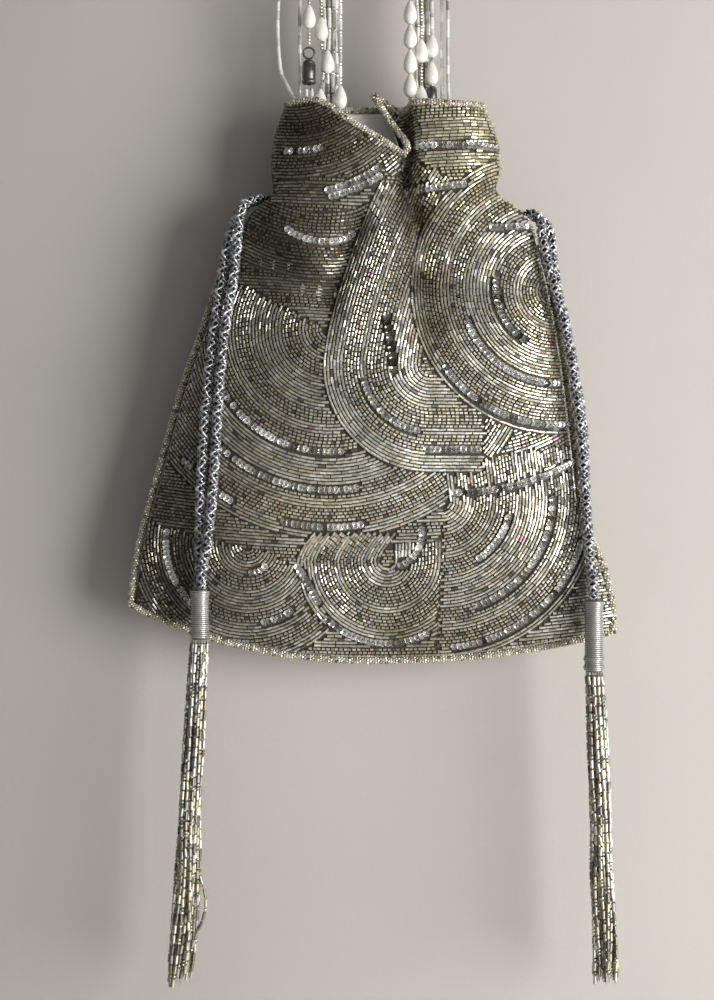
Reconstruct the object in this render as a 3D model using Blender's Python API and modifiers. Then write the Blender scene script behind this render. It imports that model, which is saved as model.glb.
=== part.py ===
"""Beaded drawstring evening pouch, hanging by its handle of bugle-bead strands and teardrop pearls.

Metres, +Z up, front towards -Y. The origin is the inside top of the handle, where a hook or a hand holds it.
The front and back panels and their satin linings are lofts of gathered cloth given a thickness; the two
drawstrings run round the channel between panel and lining and leave by slits in the side seams.
"""

import math

import bmesh
import bpy
import numpy as np
from mathutils.bvhtree import BVHTree

MM = 0.001

# Fits
CLEARANCE = 0.3 * MM
SEAM_GAP = 0.15 * MM

# Pouch sizes
RIM_WIDTH = 93 * MM
RUFFLE_WIDTH = 105.4 * MM
NECK_WIDTH = 102.6 * MM
BASE_WIDTH = 218 * MM
NECK_DROP = 38 * MM
BAG_HEIGHT = 251.5 * MM
BASE_RISE_LEFT = 25 * MM
BASE_RISE_RIGHT = 13 * MM
LEAN = 7 * MM
RIM_DEPTH = 13 * MM
BACK_RIM_SHARE = 0.6
BACK_NECK_SHARE = 1.15
BACK_BELLY_SHARE = 1.1
RUFFLE_DEPTH = 15 * MM
NECK_DEPTH = 10 * MM
BELLY_DEPTH = 21 * MM
SEAM_HALF = 2.5 * MM
NECK_SEAM_HALF = 7.8 * MM
NOTCH_DROP = 24 * MM

# Cloth
PANEL_THICKNESS = 1.5 * MM
LINING_THICKNESS = 0.6 * MM
LINING_GAP = 0.45 * MM
THICKNESS_CLAMP = 0.9
RIM_BEAD_RADIUS = 1.3 * MM
SEAM_BEAD_RADIUS = 1.6 * MM

# Drawstrings
CORD_DIAMETER = 5.4 * MM
LEFT_EXIT_DROP = 42 * MM
RIGHT_EXIT_DROP = 48.6 * MM
SLIT_CLEARANCE = 0.3 * MM
LOOP_STUB = 1.2 * MM
CHANNEL_EASE = 0.3 * MM
CHANNEL_SLACK = 1.5 * MM
EXIT_RUN = 1.5

# Tassels
CAP_RADIUS = 4.9 * MM
FRINGE_STRAND_RADIUS = 1.25 * MM
FRINGE_SPACING = 3.0 * MM
LEFT_CAP_LENGTH = 22.5 * MM
RIGHT_CAP_LENGTH = 32.4 * MM

# Handle
HANDLE_DROP = 117.5 * MM
ARC_RADIUS = 20 * MM
STRAND_RADIUS = 0.9 * MM
PEARL_LENGTH = 10.8 * MM
PEARL_RADIUS = 3.15 * MM
END_CAP_RADIUS = 3.3 * MM
END_CAP_LENGTH = 10.8 * MM
RING_RADIUS = 2.5 * MM
RING_WIRE_RADIUS = 0.45 * MM
ROOT_DROP = 16.5 * MM

RIM_Z = -HANDLE_DROP

# Columns across the front from the left seam to the right seam. Each is given at the rim, halfway down the
# ruffle and at the neck: its place across the half width, its share of the half depth, and at the rim and
# halfway its drop as a share of the notch's. The notch's tip, the lapel's peak and the cleft are among them.
FRONT_COLUMNS = (
    ((-1.0, 0.0, 0.0), (-1.0, 0.0, 0.79), (-1.0, 0.0)),
    ((-0.918, 0.42, 0.0), (-0.917, 0.43, 0.79), (-0.914, 0.42)),
    ((-0.66, 0.81, 0.0), (-0.689, 0.80, 0.79), (-0.68, 0.92)),
    ((-0.338, 1.0, 0.38), (-0.328, 0.90, 0.96), (-0.329, 1.02)),
    ((-0.015, 0.92, 0.77), (-0.044, 0.83, 1.17), (-0.076, 0.92)),
    ((0.168, 0.69, 1.0), (0.108, 0.60, 1.29), (0.09, 0.52)),
    ((0.15, 0.36, 0.60), (0.165, 0.28, 0.98), (0.131, 0.05)),
    ((-0.065, 0.10, -0.19), (0.140, -0.03, 0.67), (0.158, -0.23)),
    ((0.146, -0.31, 0.10), (0.175, -0.30, 0.77), (0.197, -0.33)),
    ((0.235, 0.40, 0.08), (0.235, 0.34, 0.79), (0.255, 0.32)),
    ((0.34, 0.87, 0.04), (0.326, 0.80, 0.79), (0.372, 0.87)),
    ((0.738, 0.81, 0.06), (0.696, 0.77, 0.83), (0.723, 0.77)),
    ((0.931, 0.38, 0.03), (0.924, 0.37, 0.81), (0.928, 0.42)),
    ((1.0, 0.0, 0.0), (1.0, 0.0, 0.79), (1.0, 0.0)),
)
FRONT_STEPS = (1, 3, 3, 3, 2, 1, 1, 1, 1, 2, 4, 2, 1)
BACK_STEPS = 16
FRONT_RUFFLE_ROWS = 4
BACK_RUFFLE_ROWS = 4
FRONT_BODY_ROWS = 11
BACK_BODY_ROWS = 7

# Folds of the front below the neck: points (across, drop) from the rim's centre, height outwards at the first
# and last point, and radius. A valley has a negative height.
FRONT_FOLDS = (
    (((15.5, 38), (20, 60), (23, 82), (25, 106)), -12, -1, 5.5),
    (((-6, 56), (-12, 69), (-17, 86), (-21, 102)), -7, -2, 6.0),
    (((34, 66), (37, 80)), -4, -4, 9.0),
    (((-50, 50), (-30, 66)), 3, 3, 8.0),
    (((-62, 68), (-42, 75), (-24, 86)), -4, -5, 8.5),
    (((8, 62), (6, 104), (10, 165)), 4, 2, 13.0),
)


def clear_scene():
    """Remove what the scene holds before the pouch is modelled."""
    for old in list(bpy.data.objects):
        bpy.data.objects.remove(old, do_unlink=True)


def new_collection(name):
    made = bpy.data.collections.new(name)
    bpy.context.scene.collection.children.link(made)
    return made


def material(name, colour, roughness, metallic=0.0):
    made = bpy.data.materials.new(name)
    made.use_nodes = True
    shader = made.node_tree.nodes["Principled BSDF"]
    shader.inputs["Base Color"].default_value = (*colour, 1.0)
    shader.inputs["Roughness"].default_value = roughness
    shader.inputs["Metallic"].default_value = metallic
    return made


def smoothstep(value):
    held = np.clip(value, 0.0, 1.0)
    return held * held * (3.0 - 2.0 * held)


def smooth_table(table, at):
    """Read a table of (place, value) pairs along a smooth curve that doesn't overshoot."""
    knots = np.array(table, float)
    place, value = knots[:, 0], knots[:, 1]
    slope = np.diff(value) / np.diff(place)
    both = slope[1:] * slope[:-1]
    inner = np.where(both > 0, 2.0 * both / np.where(both > 0, slope[1:] + slope[:-1], 1.0), 0.0)
    tangent = np.concatenate([slope[:1], inner, slope[-1:]])
    span = np.clip(np.searchsorted(place, at) - 1, 0, len(place) - 2)
    width = place[span + 1] - place[span]
    share = np.clip((at - place[span]) / width, 0.0, 1.0)
    rise = share * share * (3.0 - 2.0 * share)
    bend = tangent[span] * share * (1.0 - share) ** 2 - tangent[span + 1] * share**2 * (1.0 - share)
    return value[span] + (value[span + 1] - value[span]) * rise + bend * width


def half_width(drop):
    """Half the pouch's width at a drop below the rim: ruffle, neck, sloping flanks, straight base corners."""
    body = BAG_HEIGHT - NECK_DROP
    spread = (BASE_WIDTH - NECK_WIDTH) / 2
    flank = ((0, 0), (0.056, 0.21), (0.167, 0.37), (0.307, 0.51), (0.446, 0.635), (0.577, 0.73),
             (0.70, 0.82), (0.82, 0.955), (0.91, 1.0), (1.0, 1.0))
    table = [(0.0, RIM_WIDTH / 2), (0.55 * NECK_DROP, RUFFLE_WIDTH / 2)]
    table += [(NECK_DROP + body * down, NECK_WIDTH / 2 + spread * out) for down, out in flank]
    return smooth_table(table, drop)


def centre_x(drop):
    """The pouch hangs a little askew, so its middle wanders from side to side."""
    lean = ((0.0, 0.81), (0.08, 0.90), (0.15, 0.84), (0.2, 0.99), (0.29, 0.86), (0.41, 0.57), (0.53, 0.14),
            (0.64, -0.17), (0.75, -0.48), (0.85, -0.11), (1.0, 0.11))
    return smooth_table([(BAG_HEIGHT * down, LEAN * share) for down, share in lean], drop)


def half_depth(drop):
    table = ((0.0, RIM_DEPTH), (0.5 * NECK_DROP, RUFFLE_DEPTH), (NECK_DROP, NECK_DEPTH),
             (NECK_DROP * 1.4, NECK_DEPTH), (0.42 * BAG_HEIGHT, 0.93 * BELLY_DEPTH),
             (0.62 * BAG_HEIGHT, BELLY_DEPTH),
             (0.85 * BAG_HEIGHT, 0.62 * BELLY_DEPTH), (BAG_HEIGHT, 0.3 * BELLY_DEPTH))
    return smooth_table(table, drop)


def seam_half(drop):
    """Half the thickness of the seamed edge, wide at the neck where the drawstrings come out side by side."""
    table = ((0.0, SEAM_HALF), (0.5 * NECK_DROP, 1.4 * SEAM_HALF), (NECK_DROP, NECK_SEAM_HALF),
             (NECK_DROP * 1.4, NECK_SEAM_HALF), (0.34 * BAG_HEIGHT, 1.2 * SEAM_HALF), (BAG_HEIGHT, SEAM_HALF))
    return smooth_table(table, drop)


def base_drop(across):
    """The base sags to its middle and its corners ride up, the left one more than the right."""
    rise = np.where(across < 0, BASE_RISE_LEFT, BASE_RISE_RIGHT)
    return BAG_HEIGHT - rise * np.abs(across) ** 2.2


def dome(across):
    """How far the cloth bulges at a place across the half width: flat in the middle, steep at the seams."""
    return (1.0 - np.minimum(np.abs(across), 1.0) ** 2.4) ** 0.6


def distance_to_path(x, drop, path):
    """Distance from each point to a broken line, and how far along the line its nearest point lies."""
    lengths = [math.dist(a, b) for a, b in zip(path, path[1:])]
    best = np.full(np.shape(x), np.inf)
    along = np.zeros(np.shape(x))
    done = 0.0
    for (ax, ay), (bx, by), length in zip(path, path[1:], lengths):
        share = np.clip(((x - ax) * (bx - ax) + (drop - ay) * (by - ay)) / length**2, 0.0, 1.0)
        away = np.hypot(x - ax - share * (bx - ax), drop - ay - share * (by - ay))
        nearer = away < best
        best = np.where(nearer, away, best)
        along = np.where(nearer, (done + share * length) / sum(lengths), along)
        done += length
    return best, along


def fold_height(x, drop, folds):
    total = np.zeros(np.shape(x))
    for path, first, last, radius in folds:
        away, along = distance_to_path(x / MM, drop / MM, path)
        total += (first + (last - first) * along) * np.exp(-((away / radius) ** 2)) * MM
    return total


def catmull_rom(knots, steps):
    """Points of a smooth curve through the knots, with so many steps between each two of them."""
    padded = np.vstack([2 * knots[0] - knots[1], knots, 2 * knots[-1] - knots[-2]])
    found = []
    for i, count in enumerate(steps):
        before, start, end, after = padded[i : i + 4]
        for t in np.arange(count) / count:
            square = 2 * before - 5 * start + 4 * end - after
            cube = 3 * start - before - 3 * end + after
            found.append(0.5 * (2 * start + (end - before) * t + square * t**2 + cube * t**3))
    return np.array([*found, knots[-1]])


def back_share(drop):
    """The back lies flatter than the front at the mouth and fuller at the belly."""
    table = ((0.0, BACK_RIM_SHARE), (0.6 * NECK_DROP, BACK_RIM_SHARE), (NECK_DROP, BACK_NECK_SHARE),
             (0.5 * BAG_HEIGHT, BACK_BELLY_SHARE), (BAG_HEIGHT, BACK_BELLY_SHARE))
    return smooth_table(table, drop)


def place(across, depth_share, drop, side):
    """A point of the cloth in space. side is -1 on the front and 1 on the back."""
    x = centre_x(drop) + half_width(drop) * across
    deep = half_depth(drop) * (1.0 if side < 0 else back_share(drop))
    y = side * (seam_half(drop) + deep * depth_share)
    return np.stack([x, y, RIM_Z - drop], axis=-1)


def base_spread(columns):
    """Places across the base for the columns, closer together towards the seams."""
    even = np.linspace(-1.0, 1.0, columns)
    return 0.65 * even + 0.35 * np.sin(even * math.pi / 2)


def body_rows(neck_across, neck_points, folds, rows, side):
    """The body below the neck: each column fans out to its place on the base, and the folds die away."""
    columns = len(neck_across)
    found = []
    for t in np.linspace(0.0, 1.0, rows + 1)[1:] ** 1.25:
        spread = smoothstep(t / 0.55)
        across = neck_across * (1 - spread) + base_spread(columns) * spread
        drop = NECK_DROP + (base_drop(across) - NECK_DROP) * t
        closing = np.sqrt(np.maximum(1.0 - t**7, 0.0))
        cloth = place(across, dome(across) * closing, drop, side)
        x = cloth[:, 0]
        cloth[:, 1] += side * fold_height(x, drop, folds) * closing * dome(across)
        carried = 1.0 - smoothstep((drop - NECK_DROP) / (0.6 * NECK_DROP))
        cloth[:, 1] += carried * (neck_points[:, 1] - fold_free_y(neck_across, side)) * 0.9
        found.append(cloth)
    return found


def fold_free_y(across, side):
    """Depth of the neck's cloth if it had no gathers, folds included where they start at the neck."""
    drop = np.full(len(across), NECK_DROP)
    plain = place(across, dome(across), drop, side)
    folds = FRONT_FOLDS if side < 0 else ()
    return plain[:, 1] + side * fold_height(plain[:, 0], drop, folds) * dome(across)


def front_surface():
    """Grid of the front's outer face, rim first: the ruffle is a loft of three curves, the body follows."""
    rim = []
    middle = []
    neck = []
    for (rim_x, rim_y, rim_d), (mid_x, mid_y, mid_d), (neck_x, neck_y) in FRONT_COLUMNS:
        rim.append(place(rim_x, rim_y, np.float64(rim_d * NOTCH_DROP), -1))
        middle.append(place(mid_x, mid_y, np.float64(mid_d * NOTCH_DROP), -1))
        neck.append(place(neck_x, neck_y, np.float64(NECK_DROP), -1))
    for curve, depth in ((rim, RIM_DEPTH), (middle, RUFFLE_DEPTH)):
        for point, column in zip(curve, FRONT_COLUMNS):
            share = column[0][1] if curve is rim else column[1][1]
            level = RIM_Z - point[2]
            point[1] = -(seam_half(level) + depth * share)
    rim = catmull_rom(np.array(rim), FRONT_STEPS)
    middle = catmull_rom(np.array(middle), FRONT_STEPS)
    neck = catmull_rom(np.array(neck), FRONT_STEPS)
    rows = []
    for r in np.linspace(0.0, 1.0, FRONT_RUFFLE_ROWS + 1):
        rows.append(2 * (r - 0.5) * (r - 1) * rim + 4 * r * (1 - r) * middle + 2 * r * (r - 0.5) * neck)
    across = (neck[:, 0] - centre_x(NECK_DROP)) / half_width(NECK_DROP)
    rows += body_rows(across, neck, FRONT_FOLDS, FRONT_BODY_ROWS, -1)
    return np.array(rows)


def back_gathers(across, drop):
    """Soft pleats of the back, deepest at the neck."""
    strength = np.exp(-(((drop - NECK_DROP) / (0.62 * NECK_DROP)) ** 2))
    return -3.2 * MM * strength * (0.5 + 0.5 * np.cos(5.0 * math.pi * across)) * dome(across)


def back_surface():
    """Grid of the back's outer face, rim first, plainer than the front."""
    across = base_spread(BACK_STEPS + 1)
    rows = []
    for drop in np.linspace(0.0, NECK_DROP, BACK_RUFFLE_ROWS + 1):
        level = np.full(len(across), drop)
        cloth = place(across, dome(across), level, 1)
        cloth[:, 1] += back_gathers(across, level)
        rows.append(cloth)
    for t in np.linspace(0.0, 1.0, BACK_BODY_ROWS + 1)[1:] ** 1.25:
        level = NECK_DROP + (base_drop(across) - NECK_DROP) * t
        closing = np.sqrt(max(1.0 - t**7, 0.0))
        cloth = place(across, dome(across) * closing, level, 1)
        cloth[:, 1] += back_gathers(across, level)
        rows.append(cloth)
    return np.array(rows)


def sheet_mesh(name, grid, side):
    """Open sheet with its edge turned straight back to the seam plane down both sides and along the base."""
    rows, columns = grid.shape[:2]
    mesh = bmesh.new()
    verts = [[mesh.verts.new(point) for point in row] for row in grid]
    edge = [row[0] for row in verts] + verts[-1][1:-1] + [row[-1] for row in reversed(verts)]
    turned = [mesh.verts.new((v.co.x, side * SEAM_GAP, v.co.z)) for v in edge]
    quads = []
    for r in range(rows - 1):
        for c in range(columns - 1):
            quads.append((verts[r][c], verts[r + 1][c], verts[r + 1][c + 1], verts[r][c + 1]))
    for a, b, p, q in zip(edge, edge[1:], turned, turned[1:]):
        quads.append((a, p, q, b))
    for quad in quads:
        mesh.faces.new(quad if side < 0 else tuple(reversed(quad)))
    mesh.normal_update()
    return mesh, verts, turned


def finish_sheet(name, mesh, thickness, look, collection):
    """Turn a bmesh sheet into an object whose thickness goes inwards."""
    data = bpy.data.meshes.new(name)
    mesh.to_mesh(data)
    mesh.free()
    data.shade_smooth()
    made = bpy.data.objects.new(name, data)
    made.data.materials.append(look)
    collection.objects.link(made)
    solid = made.modifiers.new("thickness", "SOLIDIFY")
    solid.thickness = thickness
    solid.offset = -1.0
    solid.thickness_clamp = THICKNESS_CLAMP
    return made


def channel_share(drop):
    """1 where the channel makes room for both drawstrings, 0 well above and below it."""
    opening = smoothstep((drop - 31 * MM) / (7.5 * MM))
    closing = 1.0 - smoothstep((drop - 55 * MM) / (7 * MM))
    return opening * closing


def build_panel(name, grid, side, look, collection):
    mesh, _, _ = sheet_mesh(name, grid, side)
    return finish_sheet(name, mesh, PANEL_THICKNESS, look, collection)


def lining_end(end):
    """How far to a side the lining may reach beside the drawstrings' turn and their exit."""
    exit_drop, turn_drop = (LEFT_EXIT_DROP, RIGHT_EXIT_DROP) if end < 0 else (RIGHT_EXIT_DROP, LEFT_EXIT_DROP)
    turn = end * turning_x(turn_drop, end) - CORD_DIAMETER / 2 - 3 * CLEARANCE
    leaving = end * seam_x(exit_drop, end) - (EXIT_RUN + 0.6) * CORD_DIAMETER
    return end * min(turn, leaving)


def build_lining(name, grid, side, lines, look, collection, rows_left_off):
    """The panel's own form set inwards, and at the channel set in further to pass behind the drawstrings."""
    mesh, verts, turned = sheet_mesh(name, grid, side)
    inset = PANEL_THICKNESS + LINING_GAP
    moved = {v: v.co - v.normal * inset for v in mesh.verts}
    for v, point in moved.items():
        drop = RIM_Z - point.z
        share = channel_share(drop)
        across = (point.x - centre_x(drop)) / half_width(drop)
        end = 1 if across > 0 else -1
        limit = lining_end(end)
        excess = max(end * (seam_x(drop, end) - limit), 0.0)
        target_x = point.x - end * excess * across**2
        behind = behind_cords(target_x, side, lines)
        target_y = side * (behind if abs(across) < 0.6 else max(behind, 2 * LINING_THICKNESS))
        point.x += share * (target_x - point.x)
        if (target_y - point.y) * side < 0:
            point.y += share * (target_y - point.y)
        v.co = point
    for v in turned:
        v.co.y = side * SEAM_GAP
    top = [v for row in verts[:rows_left_off] for v in row]
    top += turned[:rows_left_off] + turned[len(turned) - rows_left_off :]
    bmesh.ops.delete(mesh, geom=top, context="VERTS")
    return finish_sheet(name, mesh, LINING_THICKNESS, look, collection)


def clear_line(tree, drop, side):
    """A drawstring's line inside the channel: as near the panel's inner face as its thickness lets it lie."""
    reach = CORD_DIAMETER / 2 + CLEARANCE + CHANNEL_EASE
    inset = 1.8 * CORD_DIAMETER
    z = RIM_Z - drop
    table = []
    for x in np.linspace(seam_x(drop, -1) + inset, seam_x(drop, 1) - inset, 26):
        hit, _, _, _ = tree.ray_cast((x, -side * CORD_DIAMETER, z), (0.0, side, 0.0))
        y = hit.y - side * reach
        while tree.find_nearest((x, y, z))[3] < reach:
            y -= side * 0.1 * MM
        table.append((x, y))
    return np.array(table)


def behind_cords(x, side, lines):
    """How far out from the seam plane the lining may lie behind both drawstrings."""
    rooms = []
    for line in lines:
        y = np.interp(x, line[:, 0], line[:, 1])
        slope = np.interp(x, line[:, 0], np.gradient(line[:, 1], line[:, 0]))
        rooms.append(side * y - (CORD_DIAMETER / 2 + CLEARANCE) * math.hypot(1.0, slope) - CHANNEL_SLACK)
    return min(rooms)


def curve_tube(name, points, radius, sides_level, look, collection, closed=False, at=None):
    """A round tube along a broken line of close points, its ends capped."""
    data = bpy.data.curves.new(name, "CURVE")
    data.dimensions = "3D"
    data.bevel_depth = radius
    data.bevel_resolution = sides_level
    data.use_fill_caps = True
    line = data.splines.new("POLY")
    line.points.add(len(points) - 1)
    origin = np.zeros(3) if at is None else np.array(at)
    for spot, point in zip(line.points, points):
        spot.co = (*(np.array(point) - origin), 1.0)
    line.use_cyclic_u = closed
    made = bpy.data.objects.new(name, data)
    made.data.materials.append(look)
    made.location = origin
    collection.objects.link(made)
    return made


def turned(name, profile, steps, look, collection, at, closed=False):
    """A turned solid: its profile runs down the outer side at +X, and a Screw sweeps it round Z."""
    data = bpy.data.meshes.new(name)
    count = len(profile)
    edges = [(i, i + 1) for i in range(count - 1)] + ([(count - 1, 0)] if closed else [])
    data.from_pydata([(r, 0.0, z) for r, z in profile], edges, [])
    made = bpy.data.objects.new(name, data)
    made.data.materials.append(look)
    made.location = at
    collection.objects.link(made)
    screw = made.modifiers.new("turn", "SCREW")
    screw.steps = steps
    screw.render_steps = steps
    screw.use_merge_vertices = True
    screw.merge_threshold = 0.00001
    screw.use_smooth_shade = True
    return made


def mitred_offset(points, normals, inward, distance, closed):
    """Move a line sideways by a distance, in the cloth's own surface, mitred at its corners."""
    points = np.array(points)
    after = np.roll(points, -1, axis=0) - points
    if not closed:
        after[-1] = after[-2]
    along = after / np.linalg.norm(after, axis=1, keepdims=True)
    sideways = np.cross(along, normals)
    sideways /= np.linalg.norm(sideways, axis=1, keepdims=True)
    sideways *= np.sign(-np.sum(sideways * inward, axis=1, keepdims=True))
    before = np.roll(sideways, 1, axis=0)
    if not closed:
        before[0] = sideways[0]
    both = before + sideways
    share = np.maximum(1.0 + np.sum(before * sideways, axis=1, keepdims=True), 0.25)
    return points + distance * both / share


def build_rim_beading(front, back, look, collection):
    """Beaded edging that stands on the mouth's rim all the way round, notch and cleft included."""
    rim = np.vstack([front[0], back[0][::-1]])
    below = np.vstack([front[1], back[1][::-1]])
    inward = below - rim
    along = np.roll(rim, -1, axis=0) - np.roll(rim, 1, axis=0)
    normals = np.cross(inward, along)
    normals /= np.linalg.norm(normals, axis=1, keepdims=True)
    middle = rim - normals * PANEL_THICKNESS / 2
    path = mitred_offset(middle, normals, inward, RIM_BEAD_RADIUS + 2 * CLEARANCE, True)
    return curve_tube("rim_beading", path, RIM_BEAD_RADIUS, 0, look, collection, closed=True)


def outer_edge(front, back, end, from_drop):
    """One side's outline below a drop: the outermost of the front's and the back's edge."""
    column = -1 if end > 0 else 0
    edge = np.array([p for p in front[:, column] if p[2] < RIM_Z - from_drop])
    rows = back[::-1, column]
    edge[:, 0] = end * np.maximum(end * edge[:, 0], end * np.interp(edge[:, 2], rows[:, 2], rows[:, 0]))
    return edge


def build_seam_beading(front, back, look, collection):
    """Beaded edging of the side seams and the base, from the left slit round to the right one."""
    left = outer_edge(front, back, -1, LEFT_EXIT_DROP + 2.2 * CORD_DIAMETER)
    right = outer_edge(front, back, 1, RIGHT_EXIT_DROP + 2.6 * CORD_DIAMETER)
    edge = np.vstack([left, front[-1, 1:-1], right[::-1]])
    edge[:, 1] = 0.0
    middle = np.array([centre_x(0.6 * BAG_HEIGHT), 0.0, RIM_Z - 0.6 * BAG_HEIGHT])
    facing = np.tile((0.0, -1.0, 0.0), (len(edge), 1))
    path = mitred_offset(edge, facing, middle - edge, SEAM_BEAD_RADIUS + 2 * CLEARANCE, False)
    return curve_tube("seam_beading", path, SEAM_BEAD_RADIUS, 0, look, collection)


def seam_x(drop, side):
    return centre_x(drop) + side * half_width(drop)


def cut_slit(panel, drop, side, cutters):
    """Open the side seam where a drawstring's two ends come out side by side."""
    bpy.ops.mesh.primitive_cube_add(size=1.0)
    cutter = bpy.context.active_object
    cutter.name = "slit_cutter"
    inward = 1.4 * CORD_DIAMETER
    outward = 0.75 * CORD_DIAMETER
    cutter.location = (seam_x(drop, side) + side * (outward - inward) / 2, 0.0, RIM_Z - drop)
    wide = 2 * CORD_DIAMETER + 4 * SLIT_CLEARANCE
    cutter.dimensions = (inward + outward, wide, CORD_DIAMETER + 2 * SLIT_CLEARANCE)
    cutter.hide_render = True
    cutter.display_type = "WIRE"
    for held in list(cutter.users_collection):
        held.objects.unlink(cutter)
    cutters.objects.link(cutter)
    cut = panel.modifiers.new("slit", "BOOLEAN")
    cut.operation = "DIFFERENCE"
    cut.object = cutter


def turning_x(drop, side):
    """Where a drawstring's middle line turns back, clear of the sloping side wall above it."""
    wall = seam_x(drop - CORD_DIAMETER / 2, side)
    return wall - side * (PANEL_THICKNESS + 2 * CLEARANCE + CORD_DIAMETER / 2)


def drawstring_loop(name, drop, side, front_line, back_line, look, collection):
    """A drawstring's run inside the channel: in at one slit, right round the neck and out beside itself."""
    half = CORD_DIAMETER / 2 + CLEARANCE / 2
    out_x = seam_x(drop, side) + side * LOOP_STUB
    turn_x = turning_x(drop, -side)
    bend_x = turn_x + side * 0.8 * CORD_DIAMETER
    z = RIM_Z - drop
    inside_x = seam_x(drop, side) - side * EXIT_RUN * CORD_DIAMETER
    runs = []
    for line, y in ((front_line, -half), (back_line, half)):
        kept = [(px, py, z) for px, py in line if side * (px - bend_x) > 0 and side * (inside_x - px) > 0]
        if side < 0:
            kept.sort()
        else:
            kept.sort(reverse=True)
        runs.append([(out_x, y, z), (inside_x, y, z), *kept])
    front_y, back_y = (float(np.interp(bend_x, line[:, 0], line[:, 1])) for line in (front_line, back_line))
    bend = []
    for angle in np.linspace(-75, 75, 6):
        turn = math.radians(angle)
        y = (front_y + back_y) / 2 + (back_y - front_y) / 2 * math.sin(turn)
        bend.append((bend_x + (turn_x - bend_x) * math.cos(turn), y, z))
    return curve_tube(name, runs[0] + bend + runs[1][::-1], CORD_DIAMETER / 2, 0, look, collection)


# Free cords from their slits to their tassels, in millimetres
LEFT_FRONT_CORD = (
    (-49.5, -2.85, -159.5), (-51.5, -2.9, -159.3), (-55.2, -4.4, -160.0),
    (-58.4, -7.6, -163.4), (-59.9, -11.4, -169.5), (-60.5, -13.4, -177.0),
    (-61.2, -13.6, -186.0), (-62.6, -14.0, -198.0), (-65.2, -16.4, -215.0),
    (-67.6, -18.2, -236.0), (-69.0, -19.6, -257.0), (-70.2, -20.4, -278.0),
    (-72.3, -20.4, -305.0), (-75.0, -19.8, -324.0), (-76.6, -19.0, -334.0),
    (-76.8, -18.9, -336.7),
)
LEFT_BACK_CORD = (
    (-49.5, 2.85, -159.5), (-51.5, 2.9, -159.3), (-55.8, 2.9, -159.9),
    (-59.8, 0.8, -163.6), (-62.6, -3.4, -170.0), (-64.4, -7.4, -177.0),
    (-66.0, -10.0, -185.0), (-67.8, -10.6, -195.0), (-70.4, -13.2, -215.0),
    (-73.0, -15.2, -236.0), (-74.8, -17.2, -257.0), (-76.0, -18.6, -278.0),
    (-76.8, -18.6, -293.0), (-77.3, -17.2, -308.0), (-77.7, -14.6, -324.0),
    (-77.9, -13.1, -334.0), (-78.0, -13.0, -336.7),
)
RIGHT_FRONT_CORD = (
    (71.0, -2.85, -166.1), (73.0, -2.9, -166.2), (75.6, -4.8, -167.6),
    (76.8, -8.4, -171.4), (77.3, -11.4, -179.0), (78.9, -11.8, -188.0),
    (82.4, -11.6, -200.0), (86.4, -11.4, -215.0), (89.6, -11.4, -230.0),
    (91.9, -11.4, -246.0), (94.0, -11.5, -262.0), (95.4, -11.8, -280.0),
    (96.6, -12.5, -298.0), (97.4, -14.5, -314.0), (98.6, -15.8, -328.0),
    (99.6, -16.0, -339.0), (99.7, -16.0, -341.7),
)
RIGHT_BACK_CORD = (
    (71.0, 2.85, -166.1), (73.0, 2.9, -166.2), (76.8, 2.8, -167.0),
    (80.6, 0.6, -171.2), (82.0, -2.8, -178.5), (82.6, -5.0, -188.0),
    (84.4, -5.3, -200.0), (87.8, -5.3, -215.0), (90.8, -5.3, -230.0),
    (93.5, -5.3, -246.0), (96.0, -5.3, -262.0), (97.0, -5.5, -280.0),
    (97.5, -6.2, -298.0), (98.2, -8.7, -314.0), (99.2, -10.0, -328.0),
    (100.4, -10.2, -339.0), (100.6, -10.2, -341.7),
)

# Tassels: where the cap's top middle is, and the fringe's middle line from just under the cap to its tips
LEFT_CAP_TOP = (-77.4, -16.0, -337.0)
RIGHT_CAP_TOP = (100.1, -13.1, -342.0)
LEFT_FRINGE = (
    (-77.5, -16.0, -359.8), (-78.9, -15.9, -387.0), (-81.6, -15.5, -432.0),
    (-82.9, -15.2, -465.0), (-85.0, -15.0, -495.0), (-87.2, -15.0, -516.0),
)
RIGHT_FRINGE = (
    (100.3, -13.1, -374.7), (101.6, -13.1, -400.0), (103.0, -12.9, -435.0),
    (104.4, -12.6, -470.0), (105.1, -12.5, -497.0), (105.3, -12.5, -516.5),
)
FRINGE_ENDS = (0.0, 3.5, 1.0, 5.0, 2.0, 6.0, 3.0)


def build_tassel(side, cap_top, cap_length, fringe, wrap, look, collection):
    """Thread-wrapped cap with bulging rings, over a fringe of seven bead strands that spread a little."""
    r = CAP_RADIUS
    down = -cap_length
    ring = 1.4 * MM
    profile = [(0.0, 0.0), (0.85 * r, 0.0), (r, -ring), (0.86 * r, -2 * ring), (0.9 * r, 0.32 * down),
               (0.9 * r, down + 5 * ring), (r, down + 4 * ring), (0.86 * r, down + 3 * ring),
               (r, down + 2 * ring), (0.86 * r, down + ring), (0.95 * r, down), (0.0, down)]
    top = np.array(cap_top) * MM
    turned(f"{side}_tassel_cap", profile, 10, wrap, collection, top)
    middle = np.array(fringe) * MM
    for k in range(7):
        angle = 2 * math.pi * k / 6
        out = np.array((math.cos(angle), math.sin(angle), 0.0)) if k < 6 else np.zeros(3)
        spread = np.linspace(1.0, 1.28, len(middle))[:, None]
        points = middle + out * FRINGE_SPACING * spread
        points[-1, 2] += FRINGE_ENDS[k] * MM
        curve_tube(f"{side}_fringe_strand_{k + 1}", points, FRINGE_STRAND_RADIUS, 0, look, collection)


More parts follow.
